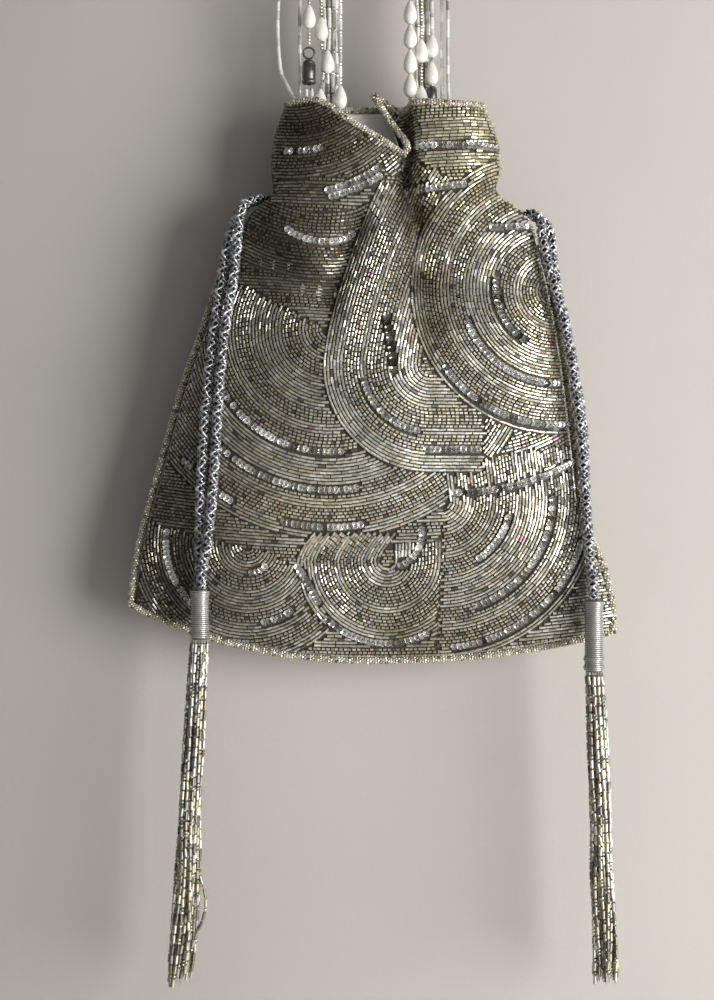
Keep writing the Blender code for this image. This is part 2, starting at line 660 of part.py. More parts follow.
def build_cords(cord_look, bead_look, collection):
    for name, points in (("left_cord_front", LEFT_FRONT_CORD), ("left_cord_back", LEFT_BACK_CORD),
                         ("right_cord_front", RIGHT_FRONT_CORD), ("right_cord_back", RIGHT_BACK_CORD)):
        path = np.array(points) * MM
        curve_tube(name, path, CORD_DIAMETER / 2, 1, cord_look, collection, at=path[0])
    build_tassel("left", LEFT_CAP_TOP, LEFT_CAP_LENGTH, LEFT_FRINGE, cord_look, bead_look, collection)
    build_tassel("right", RIGHT_CAP_TOP, RIGHT_CAP_LENGTH, RIGHT_FRINGE, cord_look, bead_look, collection)


# Handle strands, in millimetres. Each leg is read from its root upwards as (height above the root, x), and
# between the legs come the arc's radius at its left, its top and its right, and the strand's depth.
# Below its bend a strand leans back to the lining it is sewn to.
LEG_TOP = 113.0
ROOT_STRAIGHT = 4.0
ROOT_BEND = 13.5
FRONT_BEND = 20.0
BUGLE_Y = 2.4
FRONT_Y = -6.4
STRANDS = {
    "bugle_strand_inner": (((0, -18.9), (24, -17.6), (LEG_TOP, -17.6)), (17.6, 21.0, 20.8), BUGLE_Y,
                           ((0, 25.0), (30, 20.8), (LEG_TOP, 20.8))),
    "bugle_strand_middle": (((0, -21.3), (24, -19.9), (LEG_TOP, -19.9)), (19.9, 23.3, 23.1), BUGLE_Y,
                            ((0, 27.4), (30, 23.1), (LEG_TOP, 23.1))),
    "bugle_strand_outer": (((0, -23.7), (24, -22.2), (LEG_TOP, -22.2)), (22.2, 25.6, 25.4), BUGLE_Y,
                           ((0, 29.8), (30, 25.4), (LEG_TOP, 25.4))),
    "pearl_strand_front": ((), (28.6, 24.0, 17.8), FRONT_Y,
                           ((0, 20.2), (12, 20.2), (FRONT_BEND, 17.5), (LEG_TOP, 17.5))),
    "pearl_strand_back": (((0, -26.4), (12, -23.5), (25, -23.5), (31, -20.2), (43, -20.2), (46, -23.0),
                           (LEG_TOP, -22.8)), (22.8, 27.0, 22.6), -4.2,
                          ((0, 22.6), (LEG_TOP, 22.6))),
    "pearl_strand_inner": (((0, -16.4), (12, -14.4), (LEG_TOP, -14.4)), (14.4, 22.3, 27.5), -1.6, ()),
    "outer_strand": (((0, -33.8), (24, -33.0), (LEG_TOP, -33.0)), (33.0, 33.0, 32.2), 0.0,
                     ((0, 34.8), (30, 32.2), (LEG_TOP, 32.2))),
    "loose_strand": (((0, -36.1), (14, -35.9), (21, -36.0), (27, -38.8), (36, -42.0), (60, -43.0),
                      (92, -40.0), (LEG_TOP, -37.5)), (37.5, 35.4, 34.8), -1.8, ((0, 37.2), (33, 34.8), (LEG_TOP, 34.8))),
}
# Pearls as (strand, left or right leg, height of the pearl's middle in the frame)
PEARLS = (
    ("pearl_strand_front", -1, -77.0), ("pearl_strand_front", 1, -75.0), ("pearl_strand_front", 1, -86.0),
    ("pearl_strand_front", 1, -97.4), ("pearl_strand_front", 1, -108.3), ("pearl_strand_back", -1, -82.0),
    ("pearl_strand_back", -1, -97.0), ("pearl_strand_back", -1, -114.6), ("pearl_strand_back", 1, -92.0),
    ("pearl_strand_back", 1, -113.2), ("pearl_strand_inner", -1, -112.5), ("pearl_strand_inner", 1, -89.0),
    ("pearl_strand_inner", 1, -101.6),
)
RING_AT = (-28.6, FRONT_Y, -93.6)
RING_TOP = RING_AT[2] + (RING_RADIUS + RING_WIRE_RADIUS) / MM
LEFT_END_CAP_TOP = (-28.6, FRONT_Y, -96.9)
RIGHT_END_CAP_TOP = (27.5, -1.6, -107.6)
RIGHT_END_CAP_SCALE = 0.78
# Short strands below the end caps, as (name, x at the cap, x at the root)
LEFT_SHORT_STRANDS = (("left_short_strand_outer", -29.8, -31.3), ("left_short_strand_inner", -27.4, -28.9))
RIGHT_SHORT_STRAND = ("right_short_strand", 27.5, 32.3)


def root_y(tree, x, z):
    """Where a strand is sewn: just off the back lining's inner face, the whole of its straight end."""
    found = []
    for height in np.linspace(0.0, ROOT_STRAIGHT, 4):
        hit, _, _, _ = tree.ray_cast((x * MM, 0.0, z + height * MM), (0.0, 1.0, 0.0))
        found.append(hit.y)
    return (min(found) - STRAND_RADIUS - 2 * CLEARANCE) / MM


def leg_points(table, plane, tree, bend=ROOT_BEND):
    """One leg's points from its root up to the start of the arc."""
    root_z = (RIM_Z - ROOT_DROP) / MM
    back = root_y(tree, table[0][1], root_z * MM)
    heights = sorted({0.0, ROOT_STRAIGHT, 0.5 * (ROOT_STRAIGHT + bend), bend, *[h for h, _ in table[1:]]})
    points = []
    for height in heights:
        x = np.interp(height, [h for h, _ in table], [x for _, x in table])
        share = np.clip((height - ROOT_STRAIGHT) / (bend - ROOT_STRAIGHT), 0.0, 1.0)
        if height <= ROOT_STRAIGHT:
            x = table[0][1]
        points.append((x, back + (plane - back) * share, root_z + height))
    return points


def arc_points(radii, plane):
    """The arc from the left leg over the top to the right leg."""
    points = []
    for angle in np.linspace(165.0, 15.0, 7):
        turn = math.radians(angle)
        radius = smooth_table(((0.0, radii[2]), (90.0, radii[1]), (180.0, radii[0])), np.float64(angle))
        points.append((radius * math.cos(turn), plane, -ARC_RADIUS / MM + radius * math.sin(turn)))
    return points


def build_strands(tree, look, thread, collection):
    for name, (left, radii, plane, right) in STRANDS.items():
        if left:
            start = leg_points(left, plane, tree)
        else:
            start = [(RING_AT[0], plane, z) for z in (RING_TOP + 0.3, -70.0, -21.0)]
        if right:
            bend = FRONT_BEND if name == "pearl_strand_front" else ROOT_BEND
            end = leg_points(right, plane, tree, bend)[::-1]
        else:
            end = [(RIGHT_END_CAP_TOP[0], plane, z) for z in (-21.0, -70.0, RIGHT_END_CAP_TOP[2] + 0.3)]
        points = np.array([*start, *arc_points(radii, plane), *end]) * MM
        curve_tube(name, points, STRAND_RADIUS, 0, look, collection)
    root_z = (RIM_Z - ROOT_DROP) / MM
    low_cap = END_CAP_LENGTH / MM + 0.3
    for name, top_x, root_x in LEFT_SHORT_STRANDS:
        leg = leg_points(((0, root_x), (ROOT_BEND, top_x)), LEFT_END_CAP_TOP[1], tree)
        leg.append((top_x, LEFT_END_CAP_TOP[1], LEFT_END_CAP_TOP[2] - low_cap))
        curve_tube(name, np.array(leg) * MM, STRAND_RADIUS, 0, thread, collection)
    name, top_x, root_x = RIGHT_SHORT_STRAND
    top_z = RIGHT_END_CAP_TOP[2] - low_cap * RIGHT_END_CAP_SCALE - 0.1
    leg = leg_points(((0, root_x), (ROOT_BEND, top_x)), RIGHT_END_CAP_TOP[1], tree)
    leg.append((top_x, RIGHT_END_CAP_TOP[1], top_z))
    curve_tube(name, np.array(leg) * MM, STRAND_RADIUS, 0, thread, collection)


def leg_x(name, side, z):
    left, _, _, right = STRANDS[name]
    table = left if side < 0 else right
    if not table:
        return RING_AT[0] if side < 0 else RIGHT_END_CAP_TOP[0]
    height = z - (RIM_Z - ROOT_DROP) / MM
    return float(np.interp(height, [h for h, _ in table], [x for _, x in table]))


def build_pearls(look, collection):
    """Teardrop pearls with their wide end down, threaded on the strands."""
    bore = STRAND_RADIUS + CLEARANCE
    down = PEARL_LENGTH
    profile = [(bore, 0.0), (0.76 * PEARL_RADIUS, -0.3 * down), (PEARL_RADIUS, -0.67 * down),
               (0.82 * PEARL_RADIUS, -0.9 * down), (bore, -down)]
    for number, (name, side, z) in enumerate(PEARLS, 1):
        at = np.array((leg_x(name, side, z), STRANDS[name][2], z)) * MM
        at[2] += down / 2
        turned(f"pearl_{number:02d}", profile, 8, look, collection, at, closed=True)


def build_fittings(look, collection):
    """The jump ring and the two end caps that gather the strands' ends."""
    wire = RING_WIRE_RADIUS
    turns = np.linspace(math.pi, -math.pi, 6)[:-1]
    section = [(RING_RADIUS + wire * math.cos(a), wire * math.sin(a)) for a in turns]
    ring = turned("jump_ring", section, 12, look, collection, np.array(RING_AT) * MM, closed=True)
    ring.rotation_euler = (math.pi / 2, 0.0, 0.0)
    for name, top, scale in (("left_end_cap", LEFT_END_CAP_TOP, 1.0),
                             ("right_end_cap", RIGHT_END_CAP_TOP, RIGHT_END_CAP_SCALE)):
        r = END_CAP_RADIUS * scale
        down = END_CAP_LENGTH * scale
        profile = [(0.0, 0.0), (0.55 * r, 0.0), (0.9 * r, -0.09 * down), (0.92 * r, -0.86 * down),
                   (r, -0.9 * down), (0.96 * r, -down), (0.0, -down)]
        turned(name, profile, 10, look, collection, np.array(top) * MM)


def surface_tree(made):
    """Search tree of an object's finished faces, for finding where its surface lies."""
    graph = bpy.context.evaluated_depsgraph_get()
    return BVHTree.FromObject(made, graph)


def main():
    clear_scene()
    parts = new_collection("beaded drawstring evening pouch")
    cutters = new_collection("cutters")
    cloth = material("beaded cloth", (0.33, 0.31, 0.25), 0.45, 0.3)
    satin = material("satin", (0.78, 0.75, 0.68), 0.4)
    edging = material("gold bead edging", (0.42, 0.33, 0.17), 0.35, 0.6)
    cord = material("silver crochet cord", (0.45, 0.45, 0.45), 0.4, 0.7)
    fringe = material("steel bead fringe", (0.38, 0.38, 0.36), 0.3, 0.6)
    strand = material("bugle bead strand", (0.5, 0.47, 0.38), 0.3, 0.5)
    thread = material("clear bead strand", (0.75, 0.73, 0.68), 0.3)
    pearl = material("pearl", (0.9, 0.87, 0.82), 0.25)
    pewter = material("dark pewter", (0.2, 0.2, 0.2), 0.35, 0.9)
    front = front_surface()
    back = back_surface()
    front_panel = build_panel("front_panel", front, -1, cloth, parts)
    back_panel = build_panel("back_panel", back, 1, cloth, parts)
    for panel in (front_panel, back_panel):
        cut_slit(panel, LEFT_EXIT_DROP, -1, cutters)
        cut_slit(panel, RIGHT_EXIT_DROP, 1, cutters)
    bpy.context.view_layer.update()
    lines = {}
    for side, panel in ((-1, front_panel), (1, back_panel)):
        tree = surface_tree(panel)
        lines[side] = [clear_line(tree, drop, side) for drop in (LEFT_EXIT_DROP, RIGHT_EXIT_DROP)]
    build_lining("front_lining", front, -1, lines[-1], satin, parts, 1)
    back_lining = build_lining("back_lining", back, 1, lines[1], satin, parts, 0)
    build_rim_beading(front, back, edging, parts)
    build_seam_beading(front, back, edging, parts)
    drawstring_loop("drawstring_loop_left", LEFT_EXIT_DROP, -1, lines[-1][0], lines[1][0], cord, parts)
    drawstring_loop("drawstring_loop_right", RIGHT_EXIT_DROP, 1, lines[-1][1], lines[1][1], cord, parts)
    build_cords(cord, fringe, parts)
    bpy.context.view_layer.update()
    tree = surface_tree(back_lining)
    build_strands(tree, strand, thread, parts)
    build_pearls(pearl, parts)
    build_fittings(pewter, parts)


main()
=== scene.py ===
"""Looks of the beaded drawstring evening pouch: net cloth under thousands of beads, crocheted drawstrings,
tassels and a handle of bead strands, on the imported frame. Metres, +Z up, front towards -Y."""

import math

import bpy
import numpy as np
from mathutils.bvhtree import BVHTree
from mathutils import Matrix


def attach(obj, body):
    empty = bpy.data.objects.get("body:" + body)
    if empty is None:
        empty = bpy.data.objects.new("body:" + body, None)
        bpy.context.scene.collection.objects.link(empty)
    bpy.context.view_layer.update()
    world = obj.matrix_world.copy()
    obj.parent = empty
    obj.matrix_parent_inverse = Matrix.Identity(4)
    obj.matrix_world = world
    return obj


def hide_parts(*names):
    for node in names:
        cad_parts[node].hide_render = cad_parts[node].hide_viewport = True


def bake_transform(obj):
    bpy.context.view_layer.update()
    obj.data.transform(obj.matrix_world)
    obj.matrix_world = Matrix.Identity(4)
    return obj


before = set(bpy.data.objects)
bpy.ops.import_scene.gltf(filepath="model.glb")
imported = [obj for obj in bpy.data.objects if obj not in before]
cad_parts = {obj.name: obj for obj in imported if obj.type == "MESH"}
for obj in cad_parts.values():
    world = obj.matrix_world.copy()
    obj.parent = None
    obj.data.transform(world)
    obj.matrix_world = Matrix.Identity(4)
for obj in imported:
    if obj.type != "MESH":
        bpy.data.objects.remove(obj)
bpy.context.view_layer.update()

MM = 0.001
rng = np.random.default_rng(11)

# Clearances, as in the CAD
CLEARANCE = 0.3 * MM
SEAM_GAP = 0.15 * MM

# Pouch sizes, as in the CAD
RIM_WIDTH = 93 * MM
RUFFLE_WIDTH = 105.4 * MM
NECK_WIDTH = 102.6 * MM
BASE_WIDTH = 218 * MM
NECK_DROP = 38 * MM
BAG_HEIGHT = 251.5 * MM
BASE_RISE_LEFT = 25 * MM
BASE_RISE_RIGHT = 13 * MM
LEAN = 7 * MM
RIM_DEPTH = 13 * MM
BACK_RIM_SHARE = 0.6
BACK_NECK_SHARE = 1.15
BACK_BELLY_SHARE = 1.1
RUFFLE_DEPTH = 15 * MM
NECK_DEPTH = 10 * MM
BELLY_DEPTH = 21 * MM
SEAM_HALF = 2.5 * MM
NECK_SEAM_HALF = 7.8 * MM
NOTCH_DROP = 24 * MM

# Edgings
RIM_BEAD_RADIUS = 1.3 * MM
SEAM_BEAD_RADIUS = 1.6 * MM

# Drawstrings
CORD_DIAMETER = 5.4 * MM
LEFT_EXIT_DROP = 42 * MM
RIGHT_EXIT_DROP = 48.6 * MM

# Tassels
CAP_RADIUS = 4.9 * MM
LEFT_CAP_LENGTH = 22.5 * MM
RIGHT_CAP_LENGTH = 32.4 * MM

# Handle
HANDLE_DROP = 117.5 * MM
ARC_RADIUS = 20 * MM
STRAND_RADIUS = 0.9 * MM
PEARL_LENGTH = 10.8 * MM
PEARL_RADIUS = 3.15 * MM
END_CAP_RADIUS = 3.3 * MM
END_CAP_LENGTH = 10.8 * MM
RING_RADIUS = 2.5 * MM
RING_WIRE_RADIUS = 0.45 * MM
ROOT_DROP = 16.5 * MM

RIM_Z = -HANDLE_DROP

# Columns across the front from the left seam to the right seam. Each is given at the rim, halfway down the
# ruffle and at the neck: its place across the half width, its share of the half depth, and at the rim and
# halfway its drop as a share of the notch's. The notch's tip, the lapel's peak and the cleft are among them.
FRONT_COLUMNS = (
    ((-1.0, 0.0, 0.0), (-1.0, 0.0, 0.79), (-1.0, 0.0)),
    ((-0.918, 0.42, 0.0), (-0.917, 0.43, 0.79), (-0.914, 0.42)),
    ((-0.66, 0.81, 0.0), (-0.689, 0.80, 0.79), (-0.68, 0.92)),
    ((-0.338, 1.0, 0.38), (-0.328, 0.90, 0.96), (-0.329, 1.02)),
    ((-0.015, 0.92, 0.77), (-0.044, 0.83, 1.17), (-0.076, 0.92)),
    ((0.168, 0.69, 1.0), (0.108, 0.60, 1.29), (0.09, 0.52)),
    ((0.15, 0.36, 0.60), (0.165, 0.28, 0.98), (0.131, 0.05)),
    ((-0.065, 0.10, -0.19), (0.140, -0.03, 0.67), (0.158, -0.23)),
    ((0.146, -0.31, 0.10), (0.175, -0.30, 0.77), (0.197, -0.33)),
    ((0.235, 0.40, 0.08), (0.235, 0.34, 0.79), (0.255, 0.32)),
    ((0.34, 0.87, 0.04), (0.326, 0.80, 0.79), (0.372, 0.87)),
    ((0.738, 0.81, 0.06), (0.696, 0.77, 0.83), (0.723, 0.77)),
    ((0.931, 0.38, 0.03), (0.924, 0.37, 0.81), (0.928, 0.42)),
    ((1.0, 0.0, 0.0), (1.0, 0.0, 0.79), (1.0, 0.0)),
)
FRONT_STEPS = (5, 12, 12, 12, 9, 5, 6, 6, 5, 8, 16, 8, 5)
BACK_STEPS = 90
FRONT_RUFFLE_ROWS = 20
BACK_RUFFLE_ROWS = 14
FRONT_BODY_ROWS = 84
BACK_BODY_ROWS = 60

# Folds of the front below the neck: points (across, drop) from the rim's centre, height outwards at the first
# and last point, and radius. A valley has a negative height.
FRONT_FOLDS = (
    (((15.5, 38), (20, 60), (23, 82), (25, 106)), -12, -1, 5.5),
    (((-6, 56), (-12, 69), (-17, 86), (-21, 102)), -7, -2, 6.0),
    (((34, 66), (37, 80)), -4, -4, 9.0),
    (((-50, 50), (-30, 66)), 3, 3, 8.0),
    (((-62, 68), (-42, 75), (-24, 86)), -4, -5, 8.5),
    (((8, 62), (6, 104), (10, 165)), 4, 2, 13.0),
)


def smoothstep(value):
    held = np.clip(value, 0.0, 1.0)
    return held * held * (3.0 - 2.0 * held)


def smooth_table(table, at):
    """Read a table of (place, value) pairs along a smooth curve that doesn't overshoot."""
    knots = np.array(table, float)
    place, value = knots[:, 0], knots[:, 1]
    slope = np.diff(value) / np.diff(place)
    both = slope[1:] * slope[:-1]
    inner = np.where(both > 0, 2.0 * both / np.where(both > 0, slope[1:] + slope[:-1], 1.0), 0.0)
    tangent = np.concatenate([slope[:1], inner, slope[-1:]])
    span = np.clip(np.searchsorted(place, at) - 1, 0, len(place) - 2)
    width = place[span + 1] - place[span]
    share = np.clip((at - place[span]) / width, 0.0, 1.0)
    rise = share * share * (3.0 - 2.0 * share)
    bend = tangent[span] * share * (1.0 - share) ** 2 - tangent[span + 1] * share**2 * (1.0 - share)
    return value[span] + (value[span + 1] - value[span]) * rise + bend * width


def half_width(drop):
    """Half the pouch's width at a drop below the rim: ruffle, neck, sloping flanks, straight base corners."""
    body = BAG_HEIGHT - NECK_DROP
    spread = (BASE_WIDTH - NECK_WIDTH) / 2
    flank = ((0, 0), (0.056, 0.21), (0.167, 0.37), (0.307, 0.51), (0.446, 0.635), (0.577, 0.73),
             (0.70, 0.82), (0.82, 0.955), (0.91, 1.0), (1.0, 1.0))
    table = [(0.0, RIM_WIDTH / 2), (0.55 * NECK_DROP, RUFFLE_WIDTH / 2)]
    table += [(NECK_DROP + body * down, NECK_WIDTH / 2 + spread * out) for down, out in flank]
    return smooth_table(table, drop)


def centre_x(drop):
    """The pouch hangs a little askew, so its middle wanders from side to side."""
    lean = ((0.0, 0.81), (0.08, 0.90), (0.15, 0.84), (0.2, 0.99), (0.29, 0.86), (0.41, 0.57), (0.53, 0.14),
            (0.64, -0.17), (0.75, -0.48), (0.85, -0.11), (1.0, 0.11))
    return smooth_table([(BAG_HEIGHT * down, LEAN * share) for down, share in lean], drop)


def half_depth(drop):
    table = ((0.0, RIM_DEPTH), (0.5 * NECK_DROP, RUFFLE_DEPTH), (NECK_DROP, NECK_DEPTH),
             (NECK_DROP * 1.4, NECK_DEPTH), (0.42 * BAG_HEIGHT, 0.93 * BELLY_DEPTH),
             (0.62 * BAG_HEIGHT, BELLY_DEPTH),
             (0.85 * BAG_HEIGHT, 0.62 * BELLY_DEPTH), (BAG_HEIGHT, 0.3 * BELLY_DEPTH))
    return smooth_table(table, drop)


def seam_half(drop):
    """Half the thickness of the seamed edge, wide at the neck where the drawstrings come out side by side."""
    table = ((0.0, SEAM_HALF), (0.5 * NECK_DROP, 1.4 * SEAM_HALF), (NECK_DROP, NECK_SEAM_HALF),
             (NECK_DROP * 1.4, NECK_SEAM_HALF), (0.34 * BAG_HEIGHT, 1.2 * SEAM_HALF), (BAG_HEIGHT, SEAM_HALF))
    return smooth_table(table, drop)


def base_drop(across):
    """The base sags to its middle and its corners ride up, the left one more than the right."""
    rise = np.where(across < 0, BASE_RISE_LEFT, BASE_RISE_RIGHT)
    return BAG_HEIGHT - rise * np.abs(across) ** 2.2


def dome(across):
    """How far the cloth bulges at a place across the half width: flat in the middle, steep at the seams."""
    return (1.0 - np.minimum(np.abs(across), 1.0) ** 2.4) ** 0.6


def distance_to_path(x, drop, path):
    """Distance from each point to a broken line, and how far along the line its nearest point lies."""
    lengths = [math.dist(a, b) for a, b in zip(path, path[1:])]
    best = np.full(np.shape(x), np.inf)
    along = np.zeros(np.shape(x))
    done = 0.0
    for (ax, ay), (bx, by), length in zip(path, path[1:], lengths):
        share = np.clip(((x - ax) * (bx - ax) + (drop - ay) * (by - ay)) / length**2, 0.0, 1.0)
        away = np.hypot(x - ax - share * (bx - ax), drop - ay - share * (by - ay))
        nearer = away < best
        best = np.where(nearer, away, best)
        along = np.where(nearer, (done + share * length) / sum(lengths), along)
        done += length
    return best, along


def fold_height(x, drop, folds):
    total = np.zeros(np.shape(x))
    for path, first, last, radius in folds:
        away, along = distance_to_path(x / MM, drop / MM, path)
        total += (first + (last - first) * along) * np.exp(-((away / radius) ** 2)) * MM
    return total


def catmull_rom(knots, steps):
    """Points of a smooth curve through the knots, with so many steps between each two of them."""
    padded = np.vstack([2 * knots[0] - knots[1], knots, 2 * knots[-1] - knots[-2]])
    found = []
    for i, count in enumerate(steps):
        before, start, end, after = padded[i : i + 4]
        for t in np.arange(count) / count:
            square = 2 * before - 5 * start + 4 * end - after
            cube = 3 * start - before - 3 * end + after
            found.append(0.5 * (2 * start + (end - before) * t + square * t**2 + cube * t**3))
    return np.array([*found, knots[-1]])


def back_share(drop):
    """The back lies flatter than the front at the mouth and fuller at the belly."""
    table = ((0.0, BACK_RIM_SHARE), (0.6 * NECK_DROP, BACK_RIM_SHARE), (NECK_DROP, BACK_NECK_SHARE),
             (0.5 * BAG_HEIGHT, BACK_BELLY_SHARE), (BAG_HEIGHT, BACK_BELLY_SHARE))
    return smooth_table(table, drop)


def place(across, depth_share, drop, side):
    """A point of the cloth in space. side is -1 on the front and 1 on the back."""
    x = centre_x(drop) + half_width(drop) * across
    deep = half_depth(drop) * (1.0 if side < 0 else back_share(drop))
    y = side * (seam_half(drop) + deep * depth_share)
    return np.stack([x, y, RIM_Z - drop], axis=-1)


def base_spread(columns):
    """Places across the base for the columns, closer together towards the seams."""
    even = np.linspace(-1.0, 1.0, columns)
    return 0.65 * even + 0.35 * np.sin(even * math.pi / 2)


def body_rows(neck_across, neck_points, folds, rows, side):
    """The body below the neck: each column fans out to its place on the base, and the folds die away."""
    columns = len(neck_across)
    found = []
    for t in np.linspace(0.0, 1.0, rows + 1)[1:] ** 1.25:
        spread = smoothstep(t / 0.55)
        across = neck_across * (1 - spread) + base_spread(columns) * spread
        drop = NECK_DROP + (base_drop(across) - NECK_DROP) * t
        closing = np.sqrt(np.maximum(1.0 - t**7, 0.0))
        cloth = place(across, dome(across) * closing, drop, side)
        x = cloth[:, 0]
        cloth[:, 1] += side * fold_height(x, drop, folds) * closing * dome(across)
        carried = 1.0 - smoothstep((drop - NECK_DROP) / (0.6 * NECK_DROP))
        cloth[:, 1] += carried * (neck_points[:, 1] - fold_free_y(neck_across, side)) * 0.9
        found.append(cloth)
    return found


def fold_free_y(across, side):
    """Depth of the neck's cloth if it had no gathers, folds included where they start at the neck."""
    drop = np.full(len(across), NECK_DROP)
    plain = place(across, dome(across), drop, side)
    folds = FRONT_FOLDS if side < 0 else ()
    return plain[:, 1] + side * fold_height(plain[:, 0], drop, folds) * dome(across)


def front_surface():
    """Grid of the front's outer face, rim first: the ruffle is a loft of three curves, the body follows."""
    rim = []
    middle = []
    neck = []
    for (rim_x, rim_y, rim_d), (mid_x, mid_y, mid_d), (neck_x, neck_y) in FRONT_COLUMNS:
        rim.append(place(rim_x, rim_y, np.float64(rim_d * NOTCH_DROP), -1))
        middle.append(place(mid_x, mid_y, np.float64(mid_d * NOTCH_DROP), -1))
        neck.append(place(neck_x, neck_y, np.float64(NECK_DROP), -1))
    for curve, depth in ((rim, RIM_DEPTH), (middle, RUFFLE_DEPTH)):
        for point, column in zip(curve, FRONT_COLUMNS):
            share = column[0][1] if curve is rim else column[1][1]
            level = RIM_Z - point[2]
            point[1] = -(seam_half(level) + depth * share)
    rim = catmull_rom(np.array(rim), FRONT_STEPS)
    middle = catmull_rom(np.array(middle), FRONT_STEPS)
    neck = catmull_rom(np.array(neck), FRONT_STEPS)
    rows = []
    for r in np.linspace(0.0, 1.0, FRONT_RUFFLE_ROWS + 1):
        rows.append(2 * (r - 0.5) * (r - 1) * rim + 4 * r * (1 - r) * middle + 2 * r * (r - 0.5) * neck)
    across = (neck[:, 0] - centre_x(NECK_DROP)) / half_width(NECK_DROP)
    rows += body_rows(across, neck, FRONT_FOLDS, FRONT_BODY_ROWS, -1)
    return np.array(rows)


def back_gathers(across, drop):
    """Soft pleats of the back, deepest at the neck."""
    strength = np.exp(-(((drop - NECK_DROP) / (0.62 * NECK_DROP)) ** 2))
    return -3.2 * MM * strength * (0.5 + 0.5 * np.cos(5.0 * math.pi * across)) * dome(across)


def back_surface():
    """Grid of the back's outer face, rim first, plainer than the front."""
    across = base_spread(BACK_STEPS + 1)
    rows = []
    for drop in np.linspace(0.0, NECK_DROP, BACK_RUFFLE_ROWS + 1):
        level = np.full(len(across), drop)
        cloth = place(across, dome(across), level, 1)
        cloth[:, 1] += back_gathers(across, level)
        rows.append(cloth)
    for t in np.linspace(0.0, 1.0, BACK_BODY_ROWS + 1)[1:] ** 1.25:
        level = NECK_DROP + (base_drop(across) - NECK_DROP) * t
        closing = np.sqrt(max(1.0 - t**7, 0.0))
        cloth = place(across, dome(across) * closing, level, 1)
        cloth[:, 1] += back_gathers(across, level)
        rows.append(cloth)
    return np.array(rows)


def mitred_offset(points, normals, inward, distance, closed):
    """Move a line sideways by a distance, in the cloth's own surface, mitred at its corners."""
    points = np.array(points)
    after = np.roll(points, -1, axis=0) - points
    if not closed:
        after[-1] = after[-2]
    along = after / np.linalg.norm(after, axis=1, keepdims=True)
    sideways = np.cross(along, normals)
    sideways /= np.linalg.norm(sideways, axis=1, keepdims=True)
    sideways *= np.sign(-np.sum(sideways * inward, axis=1, keepdims=True))
    before = np.roll(sideways, 1, axis=0)
    if not closed:
        before[0] = sideways[0]
    both = before + sideways
    share = np.maximum(1.0 + np.sum(before * sideways, axis=1, keepdims=True), 0.25)
    return points + distance * both / share


def outer_edge(front, back, end, from_drop):
    """One side's outline below a drop: the outermost of the front's and the back's edge."""
    column = -1 if end > 0 else 0
    edge = np.array([p for p in front[:, column] if p[2] < RIM_Z - from_drop])
    rows = back[::-1, column]
    edge[:, 0] = end * np.maximum(end * edge[:, 0], end * np.interp(edge[:, 2], rows[:, 2], rows[:, 0]))
    return edge


# Free cords from their slits to their tassels, in millimetres
LEFT_FRONT_CORD = (
    (-49.5, -2.85, -159.5), (-51.5, -2.9, -159.3), (-55.2, -4.4, -160.0),
    (-58.4, -7.6, -163.4), (-59.9, -11.4, -169.5), (-60.5, -13.4, -177.0),
    (-61.2, -13.6, -186.0), (-62.6, -14.0, -198.0), (-65.2, -16.4, -215.0),
    (-67.6, -18.2, -236.0), (-69.0, -19.6, -257.0), (-70.2, -20.4, -278.0),
    (-72.3, -20.4, -305.0), (-75.0, -19.8, -324.0), (-76.6, -19.0, -334.0),
    (-76.8, -18.9, -336.7),
)
LEFT_BACK_CORD = (
    (-49.5, 2.85, -159.5), (-51.5, 2.9, -159.3), (-55.8, 2.9, -159.9),
    (-59.8, 0.8, -163.6), (-62.6, -3.4, -170.0), (-64.4, -7.4, -177.0),
    (-66.0, -10.0, -185.0), (-67.8, -10.6, -195.0), (-70.4, -13.2, -215.0),
    (-73.0, -15.2, -236.0), (-74.8, -17.2, -257.0), (-76.0, -18.6, -278.0),
    (-76.8, -18.6, -293.0), (-77.3, -17.2, -308.0), (-77.7, -14.6, -324.0),
    (-77.9, -13.1, -334.0), (-78.0, -13.0, -336.7),
)
RIGHT_FRONT_CORD = (
    (71.0, -2.85, -166.1), (73.0, -2.9, -166.2), (75.6, -4.8, -167.6),
    (76.8, -8.4, -171.4), (77.3, -11.4, -179.0), (78.9, -11.8, -188.0),
    (82.4, -11.6, -200.0), (86.4, -11.4, -215.0), (89.6, -11.4, -230.0),
    (91.9, -11.4, -246.0), (94.0, -11.5, -262.0), (95.4, -11.8, -280.0),
    (96.6, -12.5, -298.0), (97.4, -14.5, -314.0), (98.6, -15.8, -328.0),
    (99.6, -16.0, -339.0), (99.7, -16.0, -341.7),
)
RIGHT_BACK_CORD = (
    (71.0, 2.85, -166.1), (73.0, 2.9, -166.2), (76.8, 2.8, -167.0),
    (80.6, 0.6, -171.2), (82.0, -2.8, -178.5), (82.6, -5.0, -188.0),
    (84.4, -5.3, -200.0), (87.8, -5.3, -215.0), (90.8, -5.3, -230.0),
    (93.5, -5.3, -246.0), (96.0, -5.3, -262.0), (97.0, -5.5, -280.0),
    (97.5, -6.2, -298.0), (98.2, -8.7, -314.0), (99.2, -10.0, -328.0),
    (100.4, -10.2, -339.0), (100.6, -10.2, -341.7),
)

